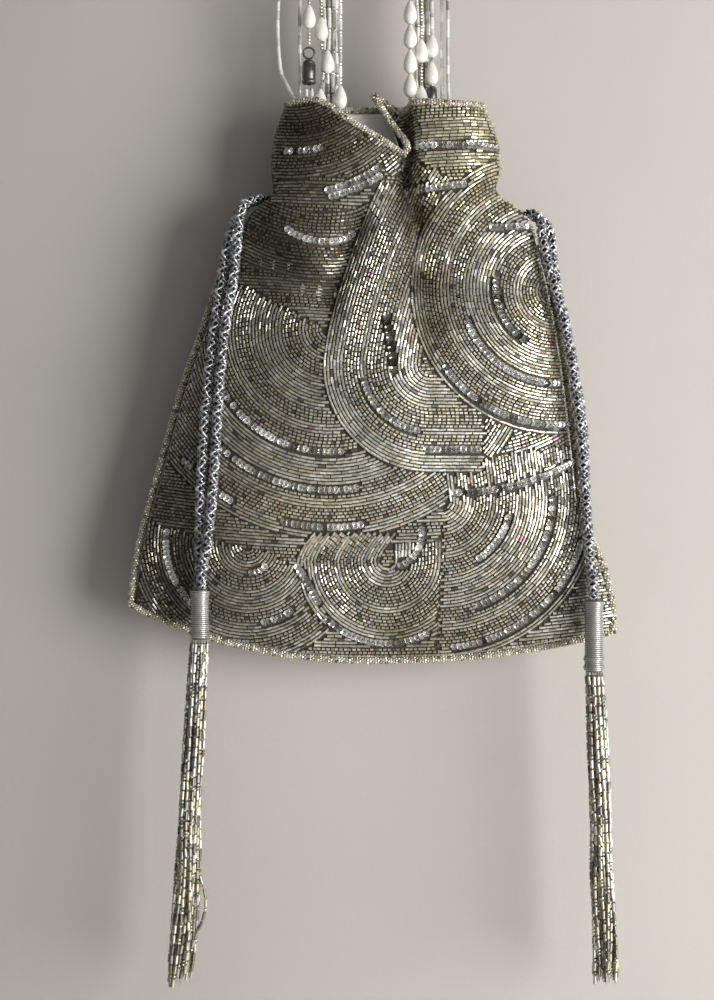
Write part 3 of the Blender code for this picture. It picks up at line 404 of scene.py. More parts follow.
# Tassels: where the cap's top middle is, and the fringe's middle line from just under the cap to its tips
LEFT_CAP_TOP = (-77.4, -16.0, -337.0)
RIGHT_CAP_TOP = (100.1, -13.1, -342.0)
LEFT_FRINGE = (
    (-77.5, -16.0, -359.8), (-78.9, -15.9, -387.0), (-81.6, -15.5, -432.0),
    (-82.9, -15.2, -465.0), (-85.0, -15.0, -495.0), (-87.2, -15.0, -516.0),
)
RIGHT_FRINGE = (
    (100.3, -13.1, -374.7), (101.6, -13.1, -400.0), (103.0, -12.9, -435.0),
    (104.4, -12.6, -470.0), (105.1, -12.5, -497.0), (105.3, -12.5, -516.5),
)

# Handle strands, in millimetres. Each leg is read from its root upwards as (height above the root, x), and
# between the legs come the arc's radius at its left, its top and its right, and the strand's depth.
# Below its bend a strand leans back to the lining it is sewn to.
LEG_TOP = 113.0
ROOT_STRAIGHT = 4.0
ROOT_BEND = 13.5
FRONT_BEND = 20.0
BUGLE_Y = 2.4
FRONT_Y = -6.4
STRANDS = {
    "bugle_strand_inner": (((0, -18.9), (24, -17.6), (LEG_TOP, -17.6)), (17.6, 21.0, 20.8), BUGLE_Y,
                           ((0, 25.0), (30, 20.8), (LEG_TOP, 20.8))),
    "bugle_strand_middle": (((0, -21.3), (24, -19.9), (LEG_TOP, -19.9)), (19.9, 23.3, 23.1), BUGLE_Y,
                            ((0, 27.4), (30, 23.1), (LEG_TOP, 23.1))),
    "bugle_strand_outer": (((0, -23.7), (24, -22.2), (LEG_TOP, -22.2)), (22.2, 25.6, 25.4), BUGLE_Y,
                           ((0, 29.8), (30, 25.4), (LEG_TOP, 25.4))),
    "pearl_strand_front": ((), (28.6, 24.0, 17.8), FRONT_Y,
                           ((0, 20.2), (12, 20.2), (FRONT_BEND, 17.5), (LEG_TOP, 17.5))),
    "pearl_strand_back": (((0, -26.4), (12, -23.5), (25, -23.5), (31, -20.2), (43, -20.2), (46, -23.0),
                           (LEG_TOP, -22.8)), (22.8, 27.0, 22.6), -4.2,
                          ((0, 22.6), (LEG_TOP, 22.6))),
    "pearl_strand_inner": (((0, -16.4), (12, -14.4), (LEG_TOP, -14.4)), (14.4, 22.3, 27.5), -1.6, ()),
    "outer_strand": (((0, -33.8), (24, -33.0), (LEG_TOP, -33.0)), (33.0, 33.0, 32.2), 0.0,
                     ((0, 34.8), (30, 32.2), (LEG_TOP, 32.2))),
    "loose_strand": (((0, -36.1), (14, -35.9), (21, -36.0), (27, -38.8), (36, -42.0), (60, -43.0),
                      (92, -40.0), (LEG_TOP, -37.5)), (37.5, 35.4, 34.8), -1.8,
                     ((0, 37.2), (33, 34.8), (LEG_TOP, 34.8))),
}
# Pearls as (strand, left or right leg, height of the pearl's middle in the frame)
PEARLS = (
    ("pearl_strand_front", -1, -77.0), ("pearl_strand_front", 1, -75.0), ("pearl_strand_front", 1, -86.0),
    ("pearl_strand_front", 1, -97.4), ("pearl_strand_front", 1, -108.3), ("pearl_strand_back", -1, -82.0),
    ("pearl_strand_back", -1, -97.0), ("pearl_strand_back", -1, -114.6), ("pearl_strand_back", 1, -92.0),
    ("pearl_strand_back", 1, -113.2), ("pearl_strand_inner", -1, -112.5), ("pearl_strand_inner", 1, -89.0),
    ("pearl_strand_inner", 1, -101.6),
)
RING_AT = (-28.6, FRONT_Y, -93.6)
RING_TOP = RING_AT[2] + (RING_RADIUS + RING_WIRE_RADIUS) / MM
LEFT_END_CAP_TOP = (-28.6, FRONT_Y, -96.9)
RIGHT_END_CAP_TOP = (27.5, -1.6, -107.6)
RIGHT_END_CAP_SCALE = 0.78
# Short strands below the end caps, as (name, x at the cap, x at the root)
LEFT_SHORT_STRANDS = (("left_short_strand_outer", -29.8, -31.3), ("left_short_strand_inner", -27.4, -28.9))
RIGHT_SHORT_STRAND = ("right_short_strand", 27.5, 32.3)


def root_y(tree, x, z):
    """Where a strand is sewn: just off the back lining's inner face, the whole of its straight end."""
    found = []
    for height in np.linspace(0.0, ROOT_STRAIGHT, 4):
        hit, _, _, _ = tree.ray_cast((x * MM, 0.0, z + height * MM), (0.0, 1.0, 0.0))
        found.append(hit.y)
    return (min(found) - STRAND_RADIUS - 2 * CLEARANCE) / MM


def leg_points(table, plane, tree, bend=ROOT_BEND):
    """One leg's points from its root up to the start of the arc."""
    root_z = (RIM_Z - ROOT_DROP) / MM
    back = root_y(tree, table[0][1], root_z * MM)
    heights = sorted({0.0, ROOT_STRAIGHT, 0.5 * (ROOT_STRAIGHT + bend), bend, *[h for h, _ in table[1:]]})
    points = []
    for height in heights:
        x = np.interp(height, [h for h, _ in table], [x for _, x in table])
        share = np.clip((height - ROOT_STRAIGHT) / (bend - ROOT_STRAIGHT), 0.0, 1.0)
        if height <= ROOT_STRAIGHT:
            x = table[0][1]
        points.append((x, back + (plane - back) * share, root_z + height))
    return points


def arc_points(radii, plane):
    """The arc from the left leg over the top to the right leg."""
    points = []
    for angle in np.linspace(165.0, 15.0, 7):
        turn = math.radians(angle)
        radius = smooth_table(((0.0, radii[2]), (90.0, radii[1]), (180.0, radii[0])), np.float64(angle))
        points.append((radius * math.cos(turn), plane, -ARC_RADIUS / MM + radius * math.sin(turn)))
    return points


def leg_x(name, side, z):
    left, _, _, right = STRANDS[name]
    table = left if side < 0 else right
    if not table:
        return RING_AT[0] if side < 0 else RIGHT_END_CAP_TOP[0]
    height = z - (RIM_Z - ROOT_DROP) / MM
    return float(np.interp(height, [h for h, _ in table], [x for _, x in table]))


# Beads
BUGLE_LENGTH = 3.0
BUGLE_RADIUS = 0.58
CUT_LENGTH = 1.45
CUT_RADIUS = 0.66
SEQUIN_RADIUS = 1.75
SEQUIN_PITCH = 2.3
SEQUIN_LIFT = 0.55
SEQUIN_LEAN = (0.25, 0.6)
ROW_PITCH = 1.5
BUGLE_GAP = 0.22
CUT_GAP = 0.55
LINE_STEP = 0.35
TINT_LIMIT = 0.95
TINT_SPREAD = (0.82, 1.14)
HUE_SPREAD = (0.98, 1.02)
CLOTH_INSET = 1.05 * MM
CLOTH_THICKNESS = 0.35 * MM
RASTER = 0.4
RASTER_LEFT = -130.0
RASTER_TOP = -100.0
RASTER_SIZE = (660, 720)
SEQUIN_CLAIM = (2.6, 3.0)
SEQUIN_OWNER = 900
ROW_CLAIM_WIDTH = 1.25
SHARED_LIMIT = 0.16

# Bead motifs in millimetres: centre x and z, inner and outer radius, first and last angle anticlockwise,
# straight runs before and after the arc, the bands' pattern, and how far the run before the arc leans to +X
MOTIFS = (
    (-32.4, -99.0, 8, 66, 195, 345, 0, 0, 2, 0),
    (81.5, -202.5, 3, 64, 95, 300, 0, 30, 0, 0),
    (25.7, -236.7, 4, 47, 180, 270, 84, 24, 1, 26),
    (30.6, -297.0, 3, 72, 268, 368, 0, 16, 0, 0),
    (6.8, -324.0, 3, 40, 180, 360, 14, 8, 1, 9),
    (-56.3, -317.0, 3, 53, 165, 335, 0, 0, 2, 0),
    (-18.9, -220.5, 3, 93, 150, 335, 0, 0, 0, 0),
    (-22.5, -120.0, 48, 76, 205, 330, 0, 0, 1, 0),
    (38.0, -184.0, 84, 113, 248, 315, 0, 0, 1, 0),
    (0.0, 420.0, 516, 806, 252, 288, 0, 0, 2, 0),
)
RUFFLE_MOTIF_BOTTOM = -152.0
RUFFLE_MOTIF_RIGHT = 12.0
# Sequin rows as arcs: centre x and z, radius, first and last angle, and whether they are dark
SEQUIN_ARCS = (
    (-32.4, -99.0, 41.0, 259, 285, 0), (-32.4, -99.0, 60.3, 280, 307, 0), (-32.4, -99.0, 63.4, 281, 305, 0),
    (-22.5, -157.5, 23.5, 224, 306, 0), (-18.9, -220.5, 55.0, 209, 276, 0),
    (-18.9, -220.5, 72.0, 225, 281, 0),
    (-18.9, -220.5, 88.5, 234, 241, 0), (-18.9, -220.5, 88.5, 255, 279, 0), (81.5, -202.5, 26.0, 163, 240, 0),
    (81.5, -202.5, 41.7, 198, 275, 0), (81.5, -202.5, 60.5, 214, 277, 0), (30.6, -297.0, 31.5, 300, 348, 0),
    (30.6, -297.0, 50.6, 288, 362, 0), (30.6, -297.0, 67.0, 274, 344, 0), (6.8, -324.0, 38.0, 222, 300, 0),
    (6.8, -312.0, 15.5, 285, 372, 0), (-56.3, -317.0, 13.0, 268, 312, 0), (-56.3, -317.0, 37.0, 168, 228, 0),
    (-56.3, -317.0, 36.0, 278, 304, 0), (38.0, -184.0, 109.5, 268, 300, 0), (25.7, -236.7, 30.0, 188, 262, 0),
)
# Sequin rows as straight lines: from x, z to x, z, and whether they are dark
SEQUIN_LINES = (
    (19.0, -137.4, 56.0, -137.4, 0), (20.5, -157.8, 43.0, -154.6, 0), (22.0, -274.5, 48.0, -274.3, 0),
    (6.0, -214.0, 9.6, -239.0, 1), (-86.4, -278.1, -80.5, -282.6, 0), (-34.6, -325.0, -24.0, -343.0, 0),
    (55.3, -196.5, 57.4, -210.5, 1), (52.0, -174.5, 70.0, -173.0, 0),
)

# Bead colours: silver, champagne, olive gold, grey, dark, bright, rose
TINTS = np.array((
    (0.68, 0.675, 0.62), (0.68, 0.635, 0.52), (0.52, 0.465, 0.32), (0.43, 0.425, 0.39), (0.18, 0.165, 0.13),
    (0.93, 0.93, 0.90), (0.50, 0.20, 0.38),
))
BUGLE_SHARES = (0.50, 0.26, 0.09, 0.10, 0.015, 0.034, 0.001)
CUT_SHARES = (0.28, 0.34, 0.23, 0.10, 0.03, 0.019, 0.001)
SEQUIN_SHARES = (0.22, 0.02, 0.0, 0.12, 0.02, 0.62, 0.0)
DARK_SHARES = (0.05, 0.0, 0.1, 0.25, 0.6, 0.0, 0.0)
GOLD_SHARES = (0.10, 0.34, 0.40, 0.04, 0.08, 0.04, 0.0)
CLEAR_SHARES = (0.24, 0.04, 0.0, 0.04, 0.0, 0.68, 0.0)
STEEL_SHARES = (0.40, 0.22, 0.12, 0.20, 0.04, 0.02, 0.0)
FRINGE_SHARES = (0.06, 0.10, 0.26, 0.32, 0.25, 0.01, 0.0)

# Painted light and shade on the beads, with some real change of warmth: darker on the left and along the
# cleft and fold valleys where shade falls, lighter on the ridges; x, z and reach in millimetres, and what
# multiplies the colour there
PAINTED_LIGHT_SHADE_AND_TINT = (
    (-24.0, -130.0, 24.0, (0.17, 0.155, 0.12)), (-42.0, -184.0, 26.0, (0.19, 0.18, 0.155)),
    (-52.0, -240.0, 30.0, (0.66, 0.66, 0.63)), (-82.0, -290.0, 34.0, (0.56, 0.54, 0.49)),
    (-92.0, -335.0, 30.0, (0.27, 0.26, 0.235)), (45.0, -140.0, 30.0, (1.08, 1.03, 0.82)),
    (22.5, -170.0, 8.0, (0.50, 0.46, 0.38)), (25.5, -198.0, 9.0, (0.42, 0.39, 0.33)),
    (27.5, -224.0, 10.0, (0.60, 0.57, 0.50)), (-10.0, -181.0, 8.0, (0.45, 0.43, 0.38)),
    (-18.0, -204.0, 9.0, (0.50, 0.48, 0.43)), (12.0, -268.0, 34.0, (1.38, 1.39, 1.38)),
    (-2.0, -205.0, 12.0, (1.25, 1.25, 1.20)), (78.0, -225.0, 26.0, (1.00, 0.97, 0.86)),
    (20.0, -368.0, 26.0, (0.84, 0.80, 0.68)), (60.0, -305.0, 26.0, (0.86, 0.85, 0.79)),
    (-70.0, -262.0, 16.0, (1.35, 1.35, 1.32)), (-32.0, -298.0, 22.0, (1.25, 1.22, 1.12)),
)


def painted_light_shade_and_tint_at(points):
    """Painted light and shade of the beads at each point, and how warm they are, blended from the listed
    places.
    """
    total = np.zeros((len(points), 3))
    for x, z, reach, factor in PAINTED_LIGHT_SHADE_AND_TINT:
        near = np.exp(-(((points[:, 0] / MM - x) ** 2 + (points[:, 2] / MM - z) ** 2) / reach**2))
        total += near[:, None] * np.log(factor)
    return np.exp(total)


def ring_template(rings, sides, turn=0.0):
    """Quads of a bead: rings of (place along the bead, radius) around its own long axis."""
    angles = np.arange(sides) / sides * 2 * math.pi + turn
    verts = [(t, r * math.cos(a), r * math.sin(a)) for t, r in rings for a in angles]
    faces = []
    for k in range(len(rings) - 1):
        for i in range(sides):
            j = (i + 1) % sides
            faces.append((k * sides + i, (k + 1) * sides + i, (k + 1) * sides + j, k * sides + j))
    return np.array(verts, float) * MM, np.array(faces)


def upright(template):
    """The same shape with its long axis turned up to Z."""
    shape, faces = template
    return shape[:, [1, 2, 0]], faces


BUGLE = ring_template(((-BUGLE_LENGTH / 2, BUGLE_RADIUS), (BUGLE_LENGTH / 2, BUGLE_RADIUS)), 6)
CUT = ring_template(((-CUT_LENGTH / 2, 0.86 * CUT_RADIUS), (CUT_LENGTH / 2, 0.86 * CUT_RADIUS)), 6, 0.26)
SEED = ring_template(((-0.62, 0.35), (-0.42, 0.72), (0.0, 0.86), (0.42, 0.72), (0.62, 0.35)), 8)
SEQUIN = upright(ring_template(((0.0, 0.3), (0.04, 0.55 * SEQUIN_RADIUS), (0.55, SEQUIN_RADIUS)), 12))
LONG_BUGLE = ring_template(((-1.9, 0.55), (-1.75, 0.72), (1.75, 0.72), (1.9, 0.55)), 8)
STRAND_BUGLE = ring_template(((-2.1, 0.6), (-1.95, 0.86), (1.95, 0.86), (2.1, 0.6)), 8)


def tints(shares, count):
    """Colours for so many beads, drawn by their shares, each a little lighter or darker."""
    picked = rng.choice(len(TINTS), count, p=np.array(shares) / sum(shares))
    shade = rng.uniform(*TINT_SPREAD, (count, 1)) * rng.uniform(*HUE_SPREAD, (count, 3))
    return np.minimum(TINTS[picked], TINT_LIMIT) * shade


class Pool:
    """Collects quads and their colours, then becomes one mesh object."""

    def __init__(self):
        self.verts = []
        self.faces = []
        self.tints = []
        self.count = 0

    def add(self, verts, faces, colours):
        self.verts.append(verts)
        self.faces.append(faces + self.count)
        self.tints.append(np.broadcast_to(colours, (len(verts), 3)))
        self.count += len(verts)

    def scatter(self, template, places, shares, with_painted_light_shade=False):
        """Put a template at each place, which is its middle, its long axis and its upright axis."""
        if not len(places):
            return
        shape, faces = template
        at, along, up = (np.array([p[k] for p in places]) for k in range(3))
        across = np.cross(up, along)
        across /= np.linalg.norm(across, axis=1, keepdims=True)
        up = np.cross(along, across)
        axes = np.stack([along, across, up], axis=1)
        verts = at[:, None, :] + np.einsum("vk,nkj->nvj", shape, axes)
        steps = np.arange(len(places))[:, None, None] * len(shape)
        colours = tints(shares, len(places))
        # multiply in the painted light and shade, and the warmth, of the bead's place
        if with_painted_light_shade:
            colours = colours * painted_light_shade_and_tint_at(at)
        colours = np.repeat(colours, len(shape), axis=0)
        self.add(verts.reshape(-1, 3), (faces[None] + steps).reshape(-1, 4), colours)

    def tube(self, points, radius, sides, colours):
        """A round tube along close points, its ends open."""
        ring = ring_template(((0.0, 1.0),), sides)[0][:, 1:] / MM
        _, up, across = line_frames(points)
        radii = np.broadcast_to(radius, (len(points),))[:, None, None]
        outwards = ring[None, :, :1] * up[:, None] + ring[None, :, 1:] * across[:, None]
        verts = points[:, None] + radii * outwards
        base = np.arange(len(points) - 1)[:, None] * sides
        i = np.arange(sides)[None]
        j = (i + 1) % sides
        faces = np.stack([base + i, base + sides + i, base + sides + j, base + j], axis=-1).reshape(-1, 4)
        self.add(verts.reshape(-1, 3), faces, colours)

    def build(self, name, look, smooth=False):
        verts = np.vstack(self.verts)
        faces = np.vstack(self.faces)
        mesh = bpy.data.meshes.new(name)
        mesh.vertices.add(len(verts))
        mesh.vertices.foreach_set("co", verts.astype(np.float32).ravel())
        mesh.loops.add(faces.size)
        mesh.loops.foreach_set("vertex_index", faces.astype(np.int32).ravel())
        mesh.polygons.add(len(faces))
        mesh.polygons.foreach_set("loop_start", np.arange(0, faces.size, 4, dtype=np.int32))
        mesh.update(calc_edges=True)
        mesh.polygons.foreach_set("use_smooth", np.full(len(faces), smooth))
        colours = np.ones((len(verts), 4), np.float32)
        colours[:, :3] = np.clip(np.vstack(self.tints), 0.0, 1.0)
        mesh.color_attributes.new("tint", "FLOAT_COLOR", "POINT").data.foreach_set("color", colours.ravel())
        mesh.materials.append(look)
        made = bpy.data.objects.new(name, mesh)
        bpy.context.scene.collection.objects.link(made)
        return made


def line_frames(points):
    """Direction of a line at each point, and two directions square to it that turn as little as they can."""
    along = np.gradient(points, axis=0)
    along /= np.linalg.norm(along, axis=1, keepdims=True)
    up = np.zeros_like(along)
    start = np.cross(along[0], (0.0, 1.0, 0.0) if abs(along[0][1]) < 0.9 else (1.0, 0.0, 0.0))
    up[0] = start / np.linalg.norm(start)
    for k in range(1, len(points)):
        turned = up[k - 1] - along[k] * (up[k - 1] @ along[k])
        up[k] = turned / np.linalg.norm(turned)
    return along, up, np.cross(along, up)


def resample(points, pitch):
    """Points at an even pitch along a broken line."""
    steps = np.linalg.norm(np.diff(points, axis=0), axis=1)
    run = np.concatenate([[0.0], np.cumsum(steps)])
    count = max(2, int(round(run[-1] / pitch)) + 1)
    at = np.linspace(0.0, run[-1], count)
    return np.stack([np.interp(at, run, points[:, k]) for k in range(3)], axis=1)


def smooth_line(points, pitch):
    """A smooth curve through the points, at an even pitch."""
    points = np.array(points, float)
    return resample(catmull_rom(points, [8] * (len(points) - 1)), pitch)


# Materials

def node(tree, kind, **values):
    made = tree.nodes.new(kind)
    for name, value in values.items():
        if name in made.inputs:
            made.inputs[name].default_value = value
        else:
            setattr(made, name, value)
    return made


def new_look(name, colour, roughness, metallic=0.0, coat=0.0):
    made = bpy.data.materials.new(name)
    made.use_nodes = True
    tree = made.node_tree
    shader = tree.nodes["Principled BSDF"]
    shader.inputs["Base Color"].default_value = (*colour, 1.0)
    shader.inputs["Roughness"].default_value = roughness
    shader.inputs["Metallic"].default_value = metallic
    shader.inputs["Coat Weight"].default_value = coat
    return made, tree, shader


def vary(tree, shader, colour_from, scale, low, high, rough_low, rough_high):
    """Multiply a colour by noise between low and high, and let roughness follow the same noise."""
    place = node(tree, "ShaderNodeTexCoord")
    noise = node(tree, "ShaderNodeTexNoise", Scale=scale, Detail=4.0, Roughness=0.6)
    tree.links.new(place.outputs["Object"], noise.inputs["Vector"])
    shade = node(tree, "ShaderNodeMapRange")
    shade.inputs["To Min"].default_value = low
    shade.inputs["To Max"].default_value = high
    shade.inputs["From Min"].default_value = 0.3
    shade.inputs["From Max"].default_value = 0.7
    tree.links.new(noise.outputs["Fac"], shade.inputs["Value"])
    mixed = node(tree, "ShaderNodeMix", data_type="RGBA", blend_type="MULTIPLY")
    mixed.inputs["Factor"].default_value = 1.0
    if isinstance(colour_from, tuple):
        mixed.inputs[6].default_value = (*colour_from, 1.0)
    else:
        tree.links.new(colour_from, mixed.inputs[6])
    tree.links.new(shade.outputs["Result"], mixed.inputs[7])
    tree.links.new(mixed.outputs[2], shader.inputs["Base Color"])
    rough = node(tree, "ShaderNodeMapRange")
    rough.inputs["To Min"].default_value = rough_low
    rough.inputs["To Max"].default_value = rough_high
    tree.links.new(noise.outputs["Fac"], rough.inputs["Value"])
    tree.links.new(rough.outputs["Result"], shader.inputs["Roughness"])
    return place, noise


def bead_look(name, metallic, rough_low, rough_high, coat):
    """Glass or metal beads that take their colour from the mesh, a little tarnished in places."""
    made, tree, shader = new_look(name, (0.5, 0.5, 0.5), 0.3, metallic, coat)
    tint = node(tree, "ShaderNodeAttribute", attribute_name="tint")
    vary(tree, shader, tint.outputs["Color"], 90.0, 0.66, 1.12, rough_low, rough_high)
    return made


def bump(tree, shader, height, strength, distance):
    made = node(tree, "ShaderNodeBump", Strength=strength, Distance=distance)
    tree.links.new(height, made.inputs["Height"])
    tree.links.new(made.outputs["Normal"], shader.inputs["Normal"])


def net_look():
    """Fine net cloth, dark brown-olive, with the thread lines of its mesh."""
    made, tree, shader = new_look("net cloth", (0.04, 0.033, 0.022), 0.7)
    place, _ = vary(tree, shader, (0.042, 0.035, 0.023), 60.0, 0.6, 1.3, 0.55, 0.85)
    mesh_lines = node(tree, "ShaderNodeTexVoronoi", Scale=900.0, feature="DISTANCE_TO_EDGE")
    tree.links.new(place.outputs["Object"], mesh_lines.inputs["Vector"])
    bump(tree, shader, mesh_lines.outputs["Distance"], 0.6, 0.0004)
    return made


def satin_look():
    """White satin lining with fine threads across it and a soft sheen."""
    made, tree, shader = new_look("satin lining", (0.8, 0.77, 0.7), 0.4)
    shader.inputs["Sheen Weight"].default_value = 0.35
    place, _ = vary(tree, shader, (0.90, 0.875, 0.81), 45.0, 0.88, 1.04, 0.3, 0.5)
    threads = node(tree, "ShaderNodeTexWave", Scale=700.0, Distortion=0.6, bands_direction="Z")
    tree.links.new(place.outputs["Object"], threads.inputs["Vector"])
    bump(tree, shader, threads.outputs["Fac"], 0.25, 0.0002)
    return made


def pearl_look():
    made, tree, shader = new_look("pearl", (0.9, 0.87, 0.82), 0.2, 0.0, 1.0)
    shader.inputs["Subsurface Weight"].default_value = 0.15
    shader.inputs["Subsurface Radius"].default_value = (0.002, 0.0015, 0.001)
    vary(tree, shader, (0.84, 0.815, 0.75), 140.0, 0.9, 1.05, 0.08, 0.16)
    return made


def metal_look(name, colour, metallic, rough_low, rough_high, scale):
    made, tree, shader = new_look(name, colour, rough_low, metallic)
    _, noise = vary(tree, shader, colour, scale, 0.55, 1.25, rough_low, rough_high)
    bump(tree, shader, noise.outputs["Fac"], 0.25, 0.0003)
    return made


# Cloth

def cloth_normals(grid, side):
    normals = np.cross(np.gradient(grid, axis=0), np.gradient(grid, axis=1))
    normals /= np.maximum(np.linalg.norm(normals, axis=2, keepdims=True), 1e-12)
    return normals * np.sign(side * normals[..., 1].mean())


def build_cloth(name, grid, normals, side, look):
    """The panel's net cloth, set in so that the beads on it reach the panel's face, its edges turned back."""
    rows, columns = grid.shape[:2]
    inner = grid - normals * CLOTH_INSET
    index = np.arange(rows * columns).reshape(rows, columns)
    edge = np.concatenate([index[:, 0], index[-1, 1:-1], index[::-1, -1]])
    flat = inner.reshape(-1, 3)
    at_edge = np.zeros((rows, columns), bool)
    at_edge[:, :4] = at_edge[:, -4:] = at_edge[-4:] = True
    at_edge = at_edge.ravel()
    flat[at_edge, 1] = side * np.maximum(side * flat[at_edge, 1], 1.2 * SEAM_GAP)
    turned = flat[edge].copy()
    turned[:, 1] = side * SEAM_GAP
    verts = np.vstack([flat, turned])
    quads = np.stack([index[:-1, :-1], index[1:, :-1], index[1:, 1:], index[:-1, 1:]], axis=-1).reshape(-1, 4)
    more = []
    for k in range(len(edge) - 1):
        a, b = edge[k], edge[k + 1]
        z = (flat[a][2] + flat[b][2]) / 2
        drop = LEFT_EXIT_DROP if flat[a][0] < 0 else RIGHT_EXIT_DROP
        if abs(z - RIM_Z + drop) > 0.62 * CORD_DIAMETER:
            more.append((a, len(flat) + k, len(flat) + k + 1, b))
    faces = np.vstack([quads, more])
    if side > 0:
        faces = faces[:, ::-1]
    pool = Pool()
    pool.add(verts, faces, (0.1, 0.1, 0.1))
    made = pool.build(name, look, smooth=True)
    solid = made.modifiers.new("thickness", "SOLIDIFY")
    solid.thickness = CLOTH_THICKNESS
    solid.offset = -1.0
    return made


class Cloth:
    """One side of the pouch: where its outer face lies behind a point of the front view, and how it faces."""

    def __init__(self, grid, normals, side):
        rows, columns = grid.shape[:2]
        index = np.arange(rows * columns).reshape(rows, columns)
        quads = np.stack([index[:-1, :-1], index[1:, :-1], index[1:, 1:], index[:-1, 1:]], axis=-1)
        self.quads = quads.reshape(-1, 4)
        flat = (grid - normals * CLOTH_INSET).reshape(-1, 3)
        self.tree = BVHTree.FromPolygons(flat.tolist(), self.quads.tolist())
        self.normals = normals.reshape(-1, 3)
        self.flat = flat
        self.side = side

    def at(self, x, z):
        """Point and normal on the face, both None where the cloth isn't there or is seen from inside."""
        hit, _, quad, _ = self.tree.ray_cast((x * MM, self.side * 0.2, z * MM), (0.0, -self.side, 0.0))
        if hit is None:
            return None, None
        corners = self.quads[quad]
        point = np.array(hit)
        away = np.linalg.norm(self.flat[corners] - point, axis=1)
        weight = 1.0 / (away + 0.1 * MM)
        normal = (self.normals[corners] * weight[:, None]).sum(axis=0)
        normal /= np.linalg.norm(normal)
        if normal[1] * self.side < 0.12:
            return None, None
        return point, normal


def arc_line(cx, cz, radius, first, last, lead_in=0.0, lead_out=0.0, step=LINE_STEP):
    """Points (x, z) of an arc with a straight run before and after it."""
    a, b = math.radians(first), math.radians(last)
    turns = np.linspace(a, b, max(3, int(abs(b - a) * radius / step)))
    arc = np.stack([cx + radius * np.cos(turns), cz + radius * np.sin(turns)], axis=1)
    parts = [arc]
    if lead_in > 0:
        back = np.arange(step, lead_in, step)[::-1, None] * np.array((math.sin(a), -math.cos(a)))
        parts.insert(0, arc[0] + back)
    if lead_out > 0:
        ahead = np.arange(step, lead_out, step)[:, None] * np.array((-math.sin(b), math.cos(b)))
        parts.append(arc[-1] + ahead)
    return np.vstack(parts)


def beads_along(line, cloth, pitch, offset, skip):
    """Middles, directions and normals of beads at a true pitch along a line projected on the cloth."""
    found = []
    run = -offset
    last = None
    for x, z in line:
        if skip(x, z):
            last = None
            continue
        point, normal = cloth.at(x, z)
        if point is None:
            last = None
            continue
        if last is not None:
            move = point - last
            length = np.linalg.norm(move) / MM
            if length > 2.4:
                last = point
                continue
            run += length
            if run >= pitch:
                run -= pitch
                along = move / (length * MM)
                along -= normal * (along @ normal)
                found.append((point, along / np.linalg.norm(along), normal, x, z))
        last = point
    return found


class Raster:
    """Which part of the front view already holds beads, and of which motif."""

    def __init__(self):
        self.owner = np.full(RASTER_SIZE, -1, np.int16)

    def cells(self, x, z, along, length, width):
        steps = np.arange(-length / 2, length / 2 + 0.01, RASTER)
        sides = np.arange(-width / 2, width / 2 + 0.01, RASTER)
        tx, tz = along
        px = x + steps[:, None] * tx - sides[None] * tz
        pz = z + steps[:, None] * tz + sides[None] * tx
        i = np.clip(((px - RASTER_LEFT) / RASTER).astype(int), 0, RASTER_SIZE[0] - 1)
        j = np.clip(((RASTER_TOP - pz) / RASTER).astype(int), 0, RASTER_SIZE[1] - 1)
        return i, j

    def claim(self, x, z, along, length, width, owner):
        i, j = self.cells(x, z, along, length, width)
        taken = self.owner[i, j]
        if ((taken >= 0) & (taken != owner)).mean() > SHARED_LIMIT:
            return False
        self.owner[i, j] = owner
        return True


# Length, radius and gap to the next bead, in millimetres
BEAD_SIZES = {"bugle": (BUGLE_LENGTH, BUGLE_RADIUS, BUGLE_GAP), "cut": (CUT_LENGTH, CUT_RADIUS, CUT_GAP)}
# Bands of a motif from its outer edge inwards, as (rows, bead)
BANDS = (
    ((4, "bugle"), (5, "cut"), (3, "bugle"), (4, "cut"), (6, "bugle")),
    ((6, "bugle"), (5, "cut"), (2, "bugle"), (6, "cut"), (3, "bugle")),
    ((3, "bugle"), (4, "cut"), (5, "bugle"), (3, "cut"), (4, "bugle")),
)


def band_kind(row, pattern):
    bands = BANDS[pattern]
    row = row % sum(rows for rows, _ in bands)
    for rows, kind in bands:
        if row < rows:
            return kind
        row -= rows


def nowhere(x, z):
    """Leaves nothing out."""
    return False


def outside_ruffle(x, z):
    """Leaves out what lies past the part of the ruffle that the first motif covers."""
    return z < RUFFLE_MOTIF_BOTTOM or x > RUFFLE_MOTIF_RIGHT


def lay_sequins(cloth, raster, found):
    """Sequins along their rows, each tipped over the next."""
    rows = [(arc_line(cx, cz, r, a, b), dark) for cx, cz, r, a, b, dark in SEQUIN_ARCS]
    for x0, z0, x1, z1, dark in SEQUIN_LINES:
        count = int(math.hypot(x1 - x0, z1 - z0) / LINE_STEP)
        rows.append((np.linspace((x0, z0), (x1, z1), count), dark))
    for line, dark in rows:
        for point, along, normal, x, z in beads_along(line, cloth, SEQUIN_PITCH, 0.0, nowhere):
            flat = np.array((along[0], along[2]))
            if not raster.claim(x, z, flat, *SEQUIN_CLAIM, SEQUIN_OWNER):
                continue
            lean = rng.uniform(*SEQUIN_LEAN)
            up = normal * math.cos(lean) - along * math.sin(lean) + rng.normal(0.0, 0.07, 3)
            up /= np.linalg.norm(up)
            forward = along - up * (along @ up)
            forward /= np.linalg.norm(forward)
            at = point + normal * SEQUIN_LIFT * MM
            found["dark" if dark else "sequin"].append((at, forward, up))


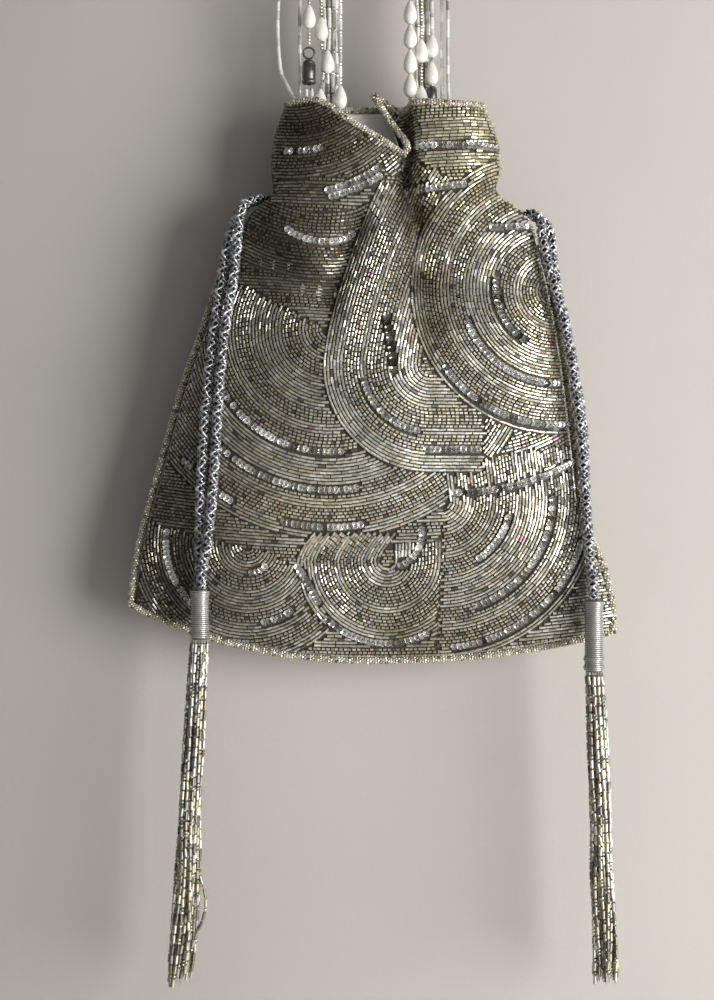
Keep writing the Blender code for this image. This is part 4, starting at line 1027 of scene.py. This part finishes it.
def lay_motif(cloth, raster, found, number, motif):
    """Rows of one motif from its outer edge inwards, keeping off what is already laid."""
    cx, cz, inner, outer, first, last, lead_in, lead_out, pattern, lean_x = motif
    skip = outside_ruffle if number == 0 else nowhere
    for row, row_radius in enumerate(np.arange(outer, inner, -ROW_PITCH)):
        kind = band_kind(row, pattern)
        length, radius, gap = BEAD_SIZES[kind]
        pitch = length + gap
        line = arc_line(cx, cz, row_radius, first, last, lead_in, lead_out)
        above = np.clip((line[:, 1] - cz) / max(lead_in, 1.0), 0.0, 1.5)
        line[:, 0] += lean_x * above**1.4 * (line[:, 0] < cx)
        offset = (row % 2) * pitch / 2 + rng.uniform(-0.15, 0.15)
        for point, along, normal, x, z in beads_along(line, cloth, pitch, offset, skip):
            flat = np.array((along[0], along[2]))
            flat_length = length * np.linalg.norm(flat)
            flat = flat / max(np.linalg.norm(flat), 0.05)
            if not raster.claim(x, z, flat, flat_length, ROW_CLAIM_WIDTH, number):
                continue
            jitter = rng.normal(0.0, 0.045, 3)
            forward = along + jitter - normal * (jitter @ normal) * 0.4
            forward /= np.linalg.norm(forward)
            up = normal + rng.normal(0.0, 0.16, 3)
            up -= forward * (up @ forward)
            up /= np.linalg.norm(up)
            at = point + normal * (radius - 0.02 + rng.uniform(-0.08, 0.08)) * MM
            found[kind].append((at, forward, up))


def lay_beads(cloth, prefix, glass, sequin):
    """Cover one side of the pouch: sequin rows first, then motif after motif."""
    raster = Raster()
    found = {"bugle": [], "cut": [], "sequin": [], "dark": []}
    lay_sequins(cloth, raster, found)
    for number, motif in enumerate(MOTIFS):
        lay_motif(cloth, raster, found, number, motif)
    made = []
    for kind, template, shares in (("bugle", BUGLE, BUGLE_SHARES), ("cut", CUT, CUT_SHARES)):
        pool = Pool()
        # bugles and cut beads carry the painted light and shade of their places
        pool.scatter(template, found[kind], shares, with_painted_light_shade=True)
        made.append(pool.build(f"{prefix}_{kind}_beads", glass))
    pool = Pool()
    pool.scatter(SEQUIN, found["sequin"], SEQUIN_SHARES)
    pool.scatter(SEQUIN, found["dark"], DARK_SHARES)
    made.append(pool.build(f"{prefix}_sequins", sequin))
    for piece in made:
        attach(piece, "pouch")


# Edgings
EDGING_PITCH = 1.2 * MM
EDGING_ROWS = 5


def edging_beads(path, radius):
    """Beads in rows round a line, each row a little behind the last, as a couched beaded edging."""
    line = resample(path, EDGING_PITCH)
    along, up, across = line_frames(line)
    places = []
    for k in range(len(line)):
        for i in range(EDGING_ROWS):
            turn = 2 * math.pi * i / EDGING_ROWS + 0.35 * k
            out = up[k] * math.cos(turn) + across[k] * math.sin(turn)
            sideways = np.cross(along[k], out)
            slant = along[k] * 0.8 + sideways * 0.6
            places.append((line[k] + out * radius, slant / np.linalg.norm(slant), out))
    pool = Pool()
    pool.scatter(SEED, places, GOLD_SHARES)
    core = resample(path, 3.0 * MM)
    pool.tube(core, radius * 0.8, 6, (0.1, 0.085, 0.05))
    return pool


def rim_path(front, back):
    rim = np.vstack([front[0], back[0][::-1]])
    below = np.vstack([front[1], back[1][::-1]])
    inward = below - rim
    along = np.roll(rim, -1, axis=0) - np.roll(rim, 1, axis=0)
    normals = np.cross(inward, along)
    normals /= np.maximum(np.linalg.norm(normals, axis=1, keepdims=True), 1e-12)
    middle = rim - normals * CLOTH_INSET
    lift = -inward / np.linalg.norm(inward, axis=1, keepdims=True)
    path = middle + lift * RIM_BEAD_RADIUS
    return np.vstack([path, path[:1]])


def seam_path(front, back):
    left = outer_edge(front, back, -1, LEFT_EXIT_DROP + 2.2 * CORD_DIAMETER)
    right = outer_edge(front, back, 1, RIGHT_EXIT_DROP + 2.6 * CORD_DIAMETER)
    edge = np.vstack([left, front[-1, 1:-1], right[::-1]])
    edge[:, 1] = 0.0
    edge = resample(edge, 4.0 * MM)
    middle = np.array([centre_x(0.6 * BAG_HEIGHT), 0.0, RIM_Z - 0.6 * BAG_HEIGHT])
    facing = np.tile((0.0, -1.0, 0.0), (len(edge), 1))
    return mitred_offset(edge, facing, middle - edge, SEAM_BEAD_RADIUS, False)


# Linings and hidden drawstrings, softened from the frame's own shapes

def keep_behind(made, cloth, near, far):
    """Push a lining inwards wherever it would come through the cloth in front of it."""
    side = cloth.side
    for v in made.data.vertices:
        hit, _, _, _ = cloth.tree.ray_cast((v.co.x, side * 0.2, v.co.z), (0.0, -side, 0.0))
        if hit is not None:
            room = side * hit.y - (near if v.normal.y * side > 0 else far)
            lowest = 0.2 * MM if side * hit.y > 1.2 * MM else -6 * MM
            v.co.y = side * min(side * v.co.y, max(room, lowest))


def softened(name, levels, look, body="pouch"):
    """A finer, smooth copy of a CAD node that stands for it."""
    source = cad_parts[name]
    mesh = source.data.copy()
    mesh.transform(source.matrix_world)
    mesh.materials.clear()
    mesh.materials.append(look)
    made = bpy.data.objects.new(name + "_cloth", mesh)
    bpy.context.scene.collection.objects.link(made)
    weld = made.modifiers.new("weld", "WELD")
    weld.merge_threshold = 0.02 * MM
    finer = made.modifiers.new("finer", "SUBSURF")
    finer.levels = levels
    finer.render_levels = levels
    graph = bpy.context.evaluated_depsgraph_get()
    final = bpy.data.meshes.new_from_object(made.evaluated_get(graph))
    made.modifiers.clear()
    made.data = final
    made.data.shade_smooth()
    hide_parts(name)
    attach(made, body)
    return made


# Drawstrings and tassels
COIL_PITCH = 0.92
# Rings of fringe strands, as (strands, distance from the middle in millimetres)
FRINGE_RINGS = ((1, 0.0), (6, 1.75), (12, 3.2), (13, 4.35))
LOOSE_NUMBER = 7
LONG_SHARE = 0.72


def plait(path, diameter, pitch, threads, thread_radius, colours):
    """Threads that run round a cord both ways, each over and under the others: a crocheted chain cord."""
    line = resample(path, pitch / 18)
    _, up, across = line_frames(line)
    run = np.concatenate([[0.0], np.cumsum(np.linalg.norm(np.diff(line, axis=0), axis=1))])
    pool = Pool()
    reach = diameter / 2 - thread_radius
    for way in (-1, 1):
        for i in range(threads):
            start = 2 * math.pi * i / threads
            turn = way * 2 * math.pi * run / pitch + start + 0.35 * np.sin(run / pitch * 9.7 + 2.0 * i + way)
            weave = np.sin(threads * (2 * math.pi * run / pitch) + start * way)
            out = reach * (1.0 - 0.42 * (1.0 + way * weave) / 2)
            spiral = line + out[:, None] * (up * np.cos(turn)[:, None] + across * np.sin(turn)[:, None])
            pool.tube(spiral, thread_radius, 5, colours[(i + (way > 0)) % len(colours)])
    return pool


def build_cord(name, table, look):
    """A plaited cord from its slit to its cap."""
    path = smooth_line(np.array(table) * MM, 1.5 * MM)
    pool = plait(path, CORD_DIAMETER, 9.0 * MM, 3, 0.56 * MM,
                 ((0.50, 0.51, 0.53), (0.26, 0.27, 0.29), (0.72, 0.73, 0.75), (0.40, 0.41, 0.43)))
    # near-black core inside the plait, so the gaps between the threads read dark: painted shade
    pool.tube(path, 1.2 * MM, 6, (0.03, 0.03, 0.035))
    made = pool.build(name + "_plait", look, smooth=True)
    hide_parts(name)
    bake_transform(made)


def cap_radius(share_down, length):
    """The wrapped cap swells at its top and in two rings at its foot."""
    base = 0.86 + 0.1 * math.exp(-((share_down * length - 1.6) / 1.2) ** 2)
    for ring in (length - 1.6, length - 5.6):
        base += 0.14 * math.exp(-((share_down * length - ring) / 1.1) ** 2)
    return CAP_RADIUS / MM * base


def build_cap(side, cap_top, cap_length, wrap):
    """The wrapped cap: a turned core under one coil of thread."""
    length = cap_length / MM
    pool = Pool()
    levels = np.linspace(0.0, 1.0, 60)
    core = [(0.0, 0.05)] + [(-length * s, cap_radius(s, length) - 0.55) for s in levels] + [(-length, 0.05)]
    pool.add(*turned_shape(core, 20, cap_top), (0.16, 0.16, 0.155))
    turns = length / COIL_PITCH
    angle = np.linspace(0.0, 2 * math.pi * turns, int(turns * 18))
    share = angle / angle[-1]
    radius = np.array([cap_radius(s, length) for s in share]) - 0.42
    coil = np.stack([radius * np.cos(angle), radius * np.sin(angle), -0.45 - share * (length - 0.9)], axis=1)
    pool.tube((coil + np.array(cap_top)) * MM, 0.45 * MM, 6, (0.5, 0.5, 0.48))
    cap = pool.build(f"{side}_wrapped_cap", wrap, smooth=True)
    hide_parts(f"{side}_tassel_cap")
    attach(cap, f"{side}_tassel")
    return cap


def build_fringe(side, middle_line, bead):
    """Strands of bugles and seeds in rings round the fringe's middle line."""
    middle = smooth_line(np.array(middle_line) * MM, 2.0 * MM)
    s = np.linspace(0.0, 1.0, len(middle))
    places = []
    seeds = []
    threads = Pool()
    number = 0
    for count, out_by in FRINGE_RINGS:
        for i in range(count):
            turn = 2 * math.pi * (i + 0.3 * out_by) / count + rng.uniform(-0.15, 0.15)
            out = np.array((math.cos(turn), math.sin(turn), 0.0))
            spread = out_by * (0.86 + 0.36 * s) * MM
            wave = 0.85 * MM * np.sin(s * rng.uniform(6, 16) + rng.uniform(0, 6)) * s**0.7
            line = middle + out * spread[:, None] + np.array((1.0, 0.6, 0.0)) * wave[:, None]
            if number == LOOSE_NUMBER and side == "left":
                bow = 6.5 * MM * np.exp(-(((s - 0.76) / 0.1) ** 2))
                line = middle + np.array((1.0, -0.2, 0.0)) * (3.4 * MM * s + bow)[:, None]
            short = rng.uniform(0.0, 0.045)
            line = line[: int(len(line) * (1.0 - short))]
            number += 1
            fine = resample(line, 0.5 * MM)
            along, up, _ = line_frames(fine)
            k = 3
            while k < len(fine) - 5:
                if rng.random() < LONG_SHARE:
                    skew = along[k + 4] + rng.normal(0.0, 0.05, 3)
                    places.append((fine[k + 4], skew / np.linalg.norm(skew), up[k + 4]))
                    k += 9
                else:
                    seeds.append((fine[k + 1], along[k + 1], up[k + 1]))
                    k += 3
            threads.tube(resample(line, 4 * MM), 0.2 * MM, 4, (0.4, 0.4, 0.38))
    threads.scatter(LONG_BUGLE, places, FRINGE_SHARES)
    threads.scatter(SEED, seeds, FRINGE_SHARES)
    made = threads.build(f"{side}_fringe", bead)
    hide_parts(*[f"{side}_fringe_strand_{k}" for k in range(1, 8)])
    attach(made, f"{side}_tassel")


# Handle

def strand_path(name, tree):
    left, radii, plane, right = STRANDS[name]
    if left:
        start = leg_points(left, plane, tree)
    else:
        start = [(RING_AT[0], plane, z) for z in (RING_TOP + 0.3, -70.0, -21.0)]
    if right:
        bend = FRONT_BEND if name == "pearl_strand_front" else ROOT_BEND
        end = leg_points(right, plane, tree, bend)[::-1]
    else:
        end = [(RIGHT_END_CAP_TOP[0], plane, z) for z in (-21.0, -70.0, RIGHT_END_CAP_TOP[2] + 0.3)]
    return np.array([*start, *arc_points(radii, plane), *end]) * MM


def short_strand_path(top_x, root_x, cap_top, low, tree):
    leg = leg_points(((0, root_x), (ROOT_BEND, top_x)), cap_top[1], tree)
    leg.append((top_x, cap_top[1], cap_top[2] - low))
    return np.array(leg) * MM


def strand_beads(name, path, pearls, pattern, shares, look):
    """Bugles and seeds threaded on a strand, left out where a pearl is."""
    path = smooth_line(path, 1.0 * MM)
    fine = resample(path, 0.3 * MM)
    along, up, _ = line_frames(fine)
    pool = Pool()
    pool.tube(resample(path, 2.0 * MM), 0.28 * MM, 5, (0.45, 0.44, 0.4))
    bugles = []
    seeds = []
    k = 2
    turn = 0
    while k < len(fine) - 8:
        kind = pattern[turn % len(pattern)]
        size = 14 if kind == "b" else 5
        middle = k + size // 2
        if middle >= len(fine):
            break
        point = fine[middle]
        room = PEARL_LENGTH / 2 + (2.3 if kind == "b" else 0.8) * MM
        if any(np.linalg.norm(point - p) < room for p in pearls):
            if kind == "b":
                turn += 1
            k += 2
            continue
        (bugles if kind == "b" else seeds).append((point, along[middle], up[middle]))
        k += size
        turn += 1
    pool.scatter(STRAND_BUGLE, bugles, shares)
    pool.scatter(SEED, seeds, GOLD_SHARES if shares is not CLEAR_SHARES else CLEAR_SHARES)
    made = pool.build(name + "_beads", look)
    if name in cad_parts:
        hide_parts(name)
    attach(made, "handle")
    return made


# More strands around the three of bugles, as (name, the strand they follow, shift in x and in y)
BUNDLE = (
    ("bundle_strand_1", "bugle_strand_inner", 1.15, 1.8),
    ("bundle_strand_2", "bugle_strand_middle", 1.15, 1.8),
    ("bundle_strand_3", "bugle_strand_outer", 1.4, 1.8),
    ("bundle_strand_4", "bugle_strand_middle", 0.1, -1.7),
    ("bundle_strand_5", "bugle_strand_outer", 0.2, -1.8),
    ("bundle_strand_6", "bugle_strand_inner", 0.2, -1.6),
    ("bundle_strand_7", "bugle_strand_inner", 2.6, 2.6),
    ("bundle_strand_8", "bugle_strand_outer", 2.7, 0.4),
)


# Beads threaded on each strand in turn, b for a bugle and s for a seed, and their colours
STRAND_PATTERNS = {
    "bugle_strand_inner": ("bs", CLEAR_SHARES), "bugle_strand_middle": ("bbs", CLEAR_SHARES),
    "bugle_strand_outer": ("bs", STEEL_SHARES), "pearl_strand_front": ("sss", GOLD_SHARES),
    "pearl_strand_back": ("ss", STEEL_SHARES), "pearl_strand_inner": ("bss", CLEAR_SHARES),
    "outer_strand": ("b", CLEAR_SHARES), "loose_strand": ("b", CLEAR_SHARES),
}
# Outline of the ribbed end caps, as shares of length down and of radius
END_CAP_PROFILE = (
    (0.0, 0.5), (0.03, 0.62), (0.1, 0.86), (0.14, 0.78), (0.2, 0.9), (0.52, 0.93), (0.78, 0.9), (0.82, 0.8),
    (0.86, 0.98), (0.93, 1.0), (0.97, 0.92), (1.0, 0.8),
)
PEWTER_TINT = (0.3, 0.3, 0.3)


def turned_shape(profile, sides, at):
    """Turned solid round Z from (height, radius) pairs in millimetres."""
    verts, faces = upright(ring_template(profile, sides))
    return verts + np.array(at) * MM, faces


def build_pearls(pearl):
    """Teardrop pearls as one piece. Returns where they are on each strand."""
    pearl_at = {}
    pool = Pool()
    half = PEARL_LENGTH / MM / 2
    s = np.linspace(0.0, 1.0, 15)
    neck_part = 0.2 + 0.8 * np.sin(np.clip(s / 0.66, 0.0, 1.0) * math.pi / 2) ** 0.95
    round_part = np.sqrt(np.clip(1.0 - ((s - 0.66) / 0.36) ** 2, 0.0, 1.0))
    outline = np.where(s < 0.66, neck_part, np.maximum(round_part, 0.3))
    profile = [(half - 2 * half * a, PEARL_RADIUS / MM * r) for a, r in zip(s, outline)]
    for name, side, z in PEARLS:
        at = (leg_x(name, side, z), STRANDS[name][2], z)
        pearl_at.setdefault(name, []).append(np.array(at) * MM)
        pool.add(*turned_shape([(half, 0.5), *profile, (-half, 0.5)], 24, at), (0.9, 0.87, 0.82))
    pearls = pool.build("handle_pearls", pearl, smooth=True)
    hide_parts(*[f"pearl_{k:02d}" for k in range(1, len(PEARLS) + 1)])
    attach(pearls, "handle")
    return pearl_at


def build_strands(tree, glass, clear, pearl_at):
    for name, (pattern, shares) in STRAND_PATTERNS.items():
        look = clear if shares is CLEAR_SHARES else glass
        strand_beads(name, strand_path(name, tree), pearl_at.get(name, []), pattern, shares, look)
    for name, source, dx, dy in BUNDLE:
        path = strand_path(source, tree)
        path = path[path[:, 2] > RIM_Z - 4 * MM] + np.array((0.0, dy, 0.0)) * MM
        path[:, 0] += dx * MM * np.where(path[:, 2] < -ARC_RADIUS, 1.0, 0.4)
        path = smooth_line(path, 3.0 * MM)
        path[:, 0] += 0.45 * MM * np.sin(path[:, 2] / (7.0 * MM) + 3.0 * dx)
        strand_beads(name, path, [], "bbs", CLEAR_SHARES, clear)
    low = END_CAP_LENGTH / MM + 0.3
    for name, top_x, root_x in LEFT_SHORT_STRANDS:
        path = short_strand_path(top_x, root_x, LEFT_END_CAP_TOP, low, tree)
        strand_beads(name, path, [], "sb", CLEAR_SHARES, clear)
    name, top_x, root_x = RIGHT_SHORT_STRAND
    path = short_strand_path(top_x, root_x, RIGHT_END_CAP_TOP, low * RIGHT_END_CAP_SCALE + 0.1, tree)
    strand_beads(name, path, [], "ss", STEEL_SHARES, glass)


def build_end_caps(pewter):
    for name, top, scale in (("left_end_cap", LEFT_END_CAP_TOP, 1.0),
                             ("right_end_cap", RIGHT_END_CAP_TOP, RIGHT_END_CAP_SCALE)):
        r = END_CAP_RADIUS / MM * scale
        down = END_CAP_LENGTH / MM * scale
        pool = Pool()
        profile = [(0.0, 0.3), *[(-level * down, wide * r) for level, wide in END_CAP_PROFILE], (-down, 0.3)]
        pool.add(*turned_shape(profile, 28, top), PEWTER_TINT)
        cap = pool.build(name + "_ribbed", pewter, smooth=True)
        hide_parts(name)
        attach(cap, "handle")


def build_jump_ring(pewter):
    turns = np.linspace(0.0, 2 * math.pi, 41)
    circle = np.stack([np.cos(turns), np.zeros(41), np.sin(turns)], axis=1)
    pool = Pool()
    pool.tube(circle * RING_RADIUS + np.array(RING_AT) * MM, RING_WIRE_RADIUS, 10, PEWTER_TINT)
    jump_ring = pool.build("jump_ring_wire", pewter, smooth=True)
    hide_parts("jump_ring")
    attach(jump_ring, "handle")


# Stage, light and camera, in metres
WALL_Y = 0.031
WALL_TOP = 2
FLOOR_Z = -0.9
REACH = 3
FLOOR_COLOUR = (0.62, 0.6, 0.57)
CAMERA_AT = (-6.75 * MM, -0.765, -297 * MM)
# Lights as (name, place, what it faces, size, energy, colour)
LIGHTS = (
    ("window", (1.05, -0.86, -0.36), (0.0, 0.0, -0.27), 1.0, 27.0, (1.0, 0.985, 0.96)),
    ("room", (0.4, -1.8, -0.2), (0.0, 0.0, -0.25), 1.2, 2.0, (0.97, 0.98, 1.0)),
)


def wall_look():
    """Pale plaster wall, seen through from behind, with painted shade that darkens it towards the left."""
    made, tree, shader = new_look("wall", (0.5, 0.48, 0.45), 0.9)
    where = node(tree, "ShaderNodeTexCoord")
    split = node(tree, "ShaderNodeSeparateXYZ")
    tree.links.new(where.outputs["Object"], split.inputs["Vector"])
    # painted shade: the wall's colour falls off to the left, as the window's light would
    painted_falloff = node(tree, "ShaderNodeMapRange")
    for name, value in (("From Min", -0.2), ("From Max", 0.06), ("To Min", 0.0), ("To Max", 1.0)):
        painted_falloff.inputs[name].default_value = value
    tree.links.new(split.outputs["X"], painted_falloff.inputs["Value"])
    shade = node(tree, "ShaderNodeMix", data_type="RGBA")
    shade.inputs[6].default_value = (0.43, 0.41, 0.385, 1.0)
    shade.inputs[7].default_value = (0.50, 0.475, 0.445, 1.0)
    tree.links.new(painted_falloff.outputs["Result"], shade.inputs["Factor"])
    place, _ = vary(tree, shader, shade.outputs[2], 5.0, 0.97, 1.03, 0.85, 0.95)
    grain = node(tree, "ShaderNodeTexNoise", Scale=420.0, Detail=3.0)
    tree.links.new(place.outputs["Object"], grain.inputs["Vector"])
    bump(tree, shader, grain.outputs["Fac"], 0.12, 0.0006)
    facing = node(tree, "ShaderNodeNewGeometry")
    clear = node(tree, "ShaderNodeBsdfTransparent")
    mixed = node(tree, "ShaderNodeMixShader")
    tree.links.new(facing.outputs["Backfacing"], mixed.inputs["Fac"])
    tree.links.new(shader.outputs["BSDF"], mixed.inputs[1])
    tree.links.new(clear.outputs["BSDF"], mixed.inputs[2])
    tree.links.new(mixed.outputs["Shader"], tree.nodes["Material Output"].inputs["Surface"])
    return made


def stage_plane(name, corners, look):
    mesh = bpy.data.meshes.new(name)
    mesh.from_pydata(corners, [], [(0, 1, 2, 3)])
    mesh.materials.append(look)
    made = bpy.data.objects.new(name, mesh)
    bpy.context.scene.collection.objects.link(made)


def area_light(name, at, target, size, energy, colour):
    data = bpy.data.lights.new(name, "AREA")
    data.shape = "DISK"
    data.size = size
    data.energy = energy
    data.color = colour
    made = bpy.data.objects.new(name, data)
    made.location = at
    direction = np.array(target) - np.array(at)
    made.rotation_euler = (math.atan2(math.hypot(direction[0], direction[1]), -direction[2]), 0.0,
                           math.atan2(direction[1], direction[0]) - math.pi / 2)
    bpy.context.scene.collection.objects.link(made)


def build_stage():
    wall = wall_look()
    stage_plane("backdrop_wall", [(-REACH, WALL_Y, FLOOR_Z), (REACH, WALL_Y, FLOOR_Z),
                                  (REACH, WALL_Y, WALL_TOP), (-REACH, WALL_Y, WALL_TOP)], wall)
    floor, tree, shader = new_look("floor", FLOOR_COLOUR, 0.8)
    vary(tree, shader, FLOOR_COLOUR, 8.0, 0.95, 1.03, 0.75, 0.9)
    stage_plane("floor", [(-REACH, -REACH, FLOOR_Z), (REACH, -REACH, FLOOR_Z), (REACH, REACH, FLOOR_Z),
                          (-REACH, REACH, FLOOR_Z)], floor)
    for light in LIGHTS:
        area_light(*light)
    world = bpy.data.worlds.new("world")
    bpy.context.scene.world = world
    world.use_nodes = True
    background = world.node_tree.nodes["Background"]
    background.inputs["Color"].default_value = (0.75, 0.77, 0.8, 1.0)
    background.inputs["Strength"].default_value = 0.23
    camera = bpy.data.cameras.new("camera")
    camera.lens = 60.0
    camera.sensor_width = 36.0
    made = bpy.data.objects.new("camera", camera)
    made.location = CAMERA_AT
    made.rotation_euler = (math.pi / 2, 0.0, 0.0)
    bpy.context.scene.collection.objects.link(made)
    bpy.context.scene.camera = made
    bpy.context.scene.view_settings.view_transform = "Standard"


def main():
    build_stage()
    net = net_look()
    satin = satin_look()
    pearl = pearl_look()
    glass = bead_look("glass beads", 0.55, 0.2, 0.4, 0.25)
    clear = bead_look("clear beads", 0.2, 0.1, 0.24, 0.5)
    edging = bead_look("gold edging beads", 0.5, 0.22, 0.42, 0.2)
    sequin = bead_look("sequins", 0.8, 0.14, 0.28, 0.3)
    thread = bead_look("metallic thread", 0.7, 0.22, 0.4, 0.0)
    fringe = bead_look("steel beads", 0.4, 0.26, 0.44, 0.1)
    pewter = metal_look("dark pewter metal", (0.16, 0.155, 0.15), 0.9, 0.25, 0.5, 300.0)
    front = front_surface()
    back = back_surface()
    normals = {-1: cloth_normals(front, -1), 1: cloth_normals(back, 1)}
    faces = {}
    for prefix, grid, side in (("front", front, -1), ("back", back, 1)):
        cloth = build_cloth(f"{prefix}_net", grid, normals[side], side, net)
        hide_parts(f"{prefix}_panel")
        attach(cloth, "pouch")
        faces[prefix] = Cloth(grid, normals[side], side)
        lay_beads(faces[prefix], prefix, glass, sequin)
    for name, path, radius in (("rim_beading", rim_path(front, back), 0.9 * MM),
                               ("seam_beading", seam_path(front, back), 1.0 * MM)):
        made = edging_beads(path, radius).build(name + "_seeds", edging)
        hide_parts(name)
        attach(made, "pouch")
    for prefix in ("front", "back"):
        lining = softened(f"{prefix}_lining", 1, satin)
        keep_behind(lining, faces[prefix], 0.9 * MM, 1.4 * MM)
    for name in ("drawstring_loop_left", "drawstring_loop_right"):
        softened(name, 2, thread)
    for side, cap_top, cap_length, line in (("left", LEFT_CAP_TOP, LEFT_CAP_LENGTH, LEFT_FRINGE),
                                            ("right", RIGHT_CAP_TOP, RIGHT_CAP_LENGTH, RIGHT_FRINGE)):
        build_cap(side, cap_top, cap_length, thread)
        build_fringe(side, line, fringe)
    for name, table, side in (("left_cord_front", LEFT_FRONT_CORD, "left"),
                              ("left_cord_back", LEFT_BACK_CORD, "left"),
                              ("right_cord_front", RIGHT_FRONT_CORD, "right"),
                              ("right_cord_back", RIGHT_BACK_CORD, "right")):
        build_cord(name, table, thread)
    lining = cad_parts["back_lining"]
    mesh = lining.data.copy()
    mesh.transform(lining.matrix_world)
    corners = [tuple(v.co) for v in mesh.vertices]
    tree = BVHTree.FromPolygons(corners, [tuple(p.vertices) for p in mesh.polygons])
    pearl_at = build_pearls(pearl)
    build_strands(tree, glass, clear, pearl_at)
    build_end_caps(pewter)
    build_jump_ring(pewter)


main()
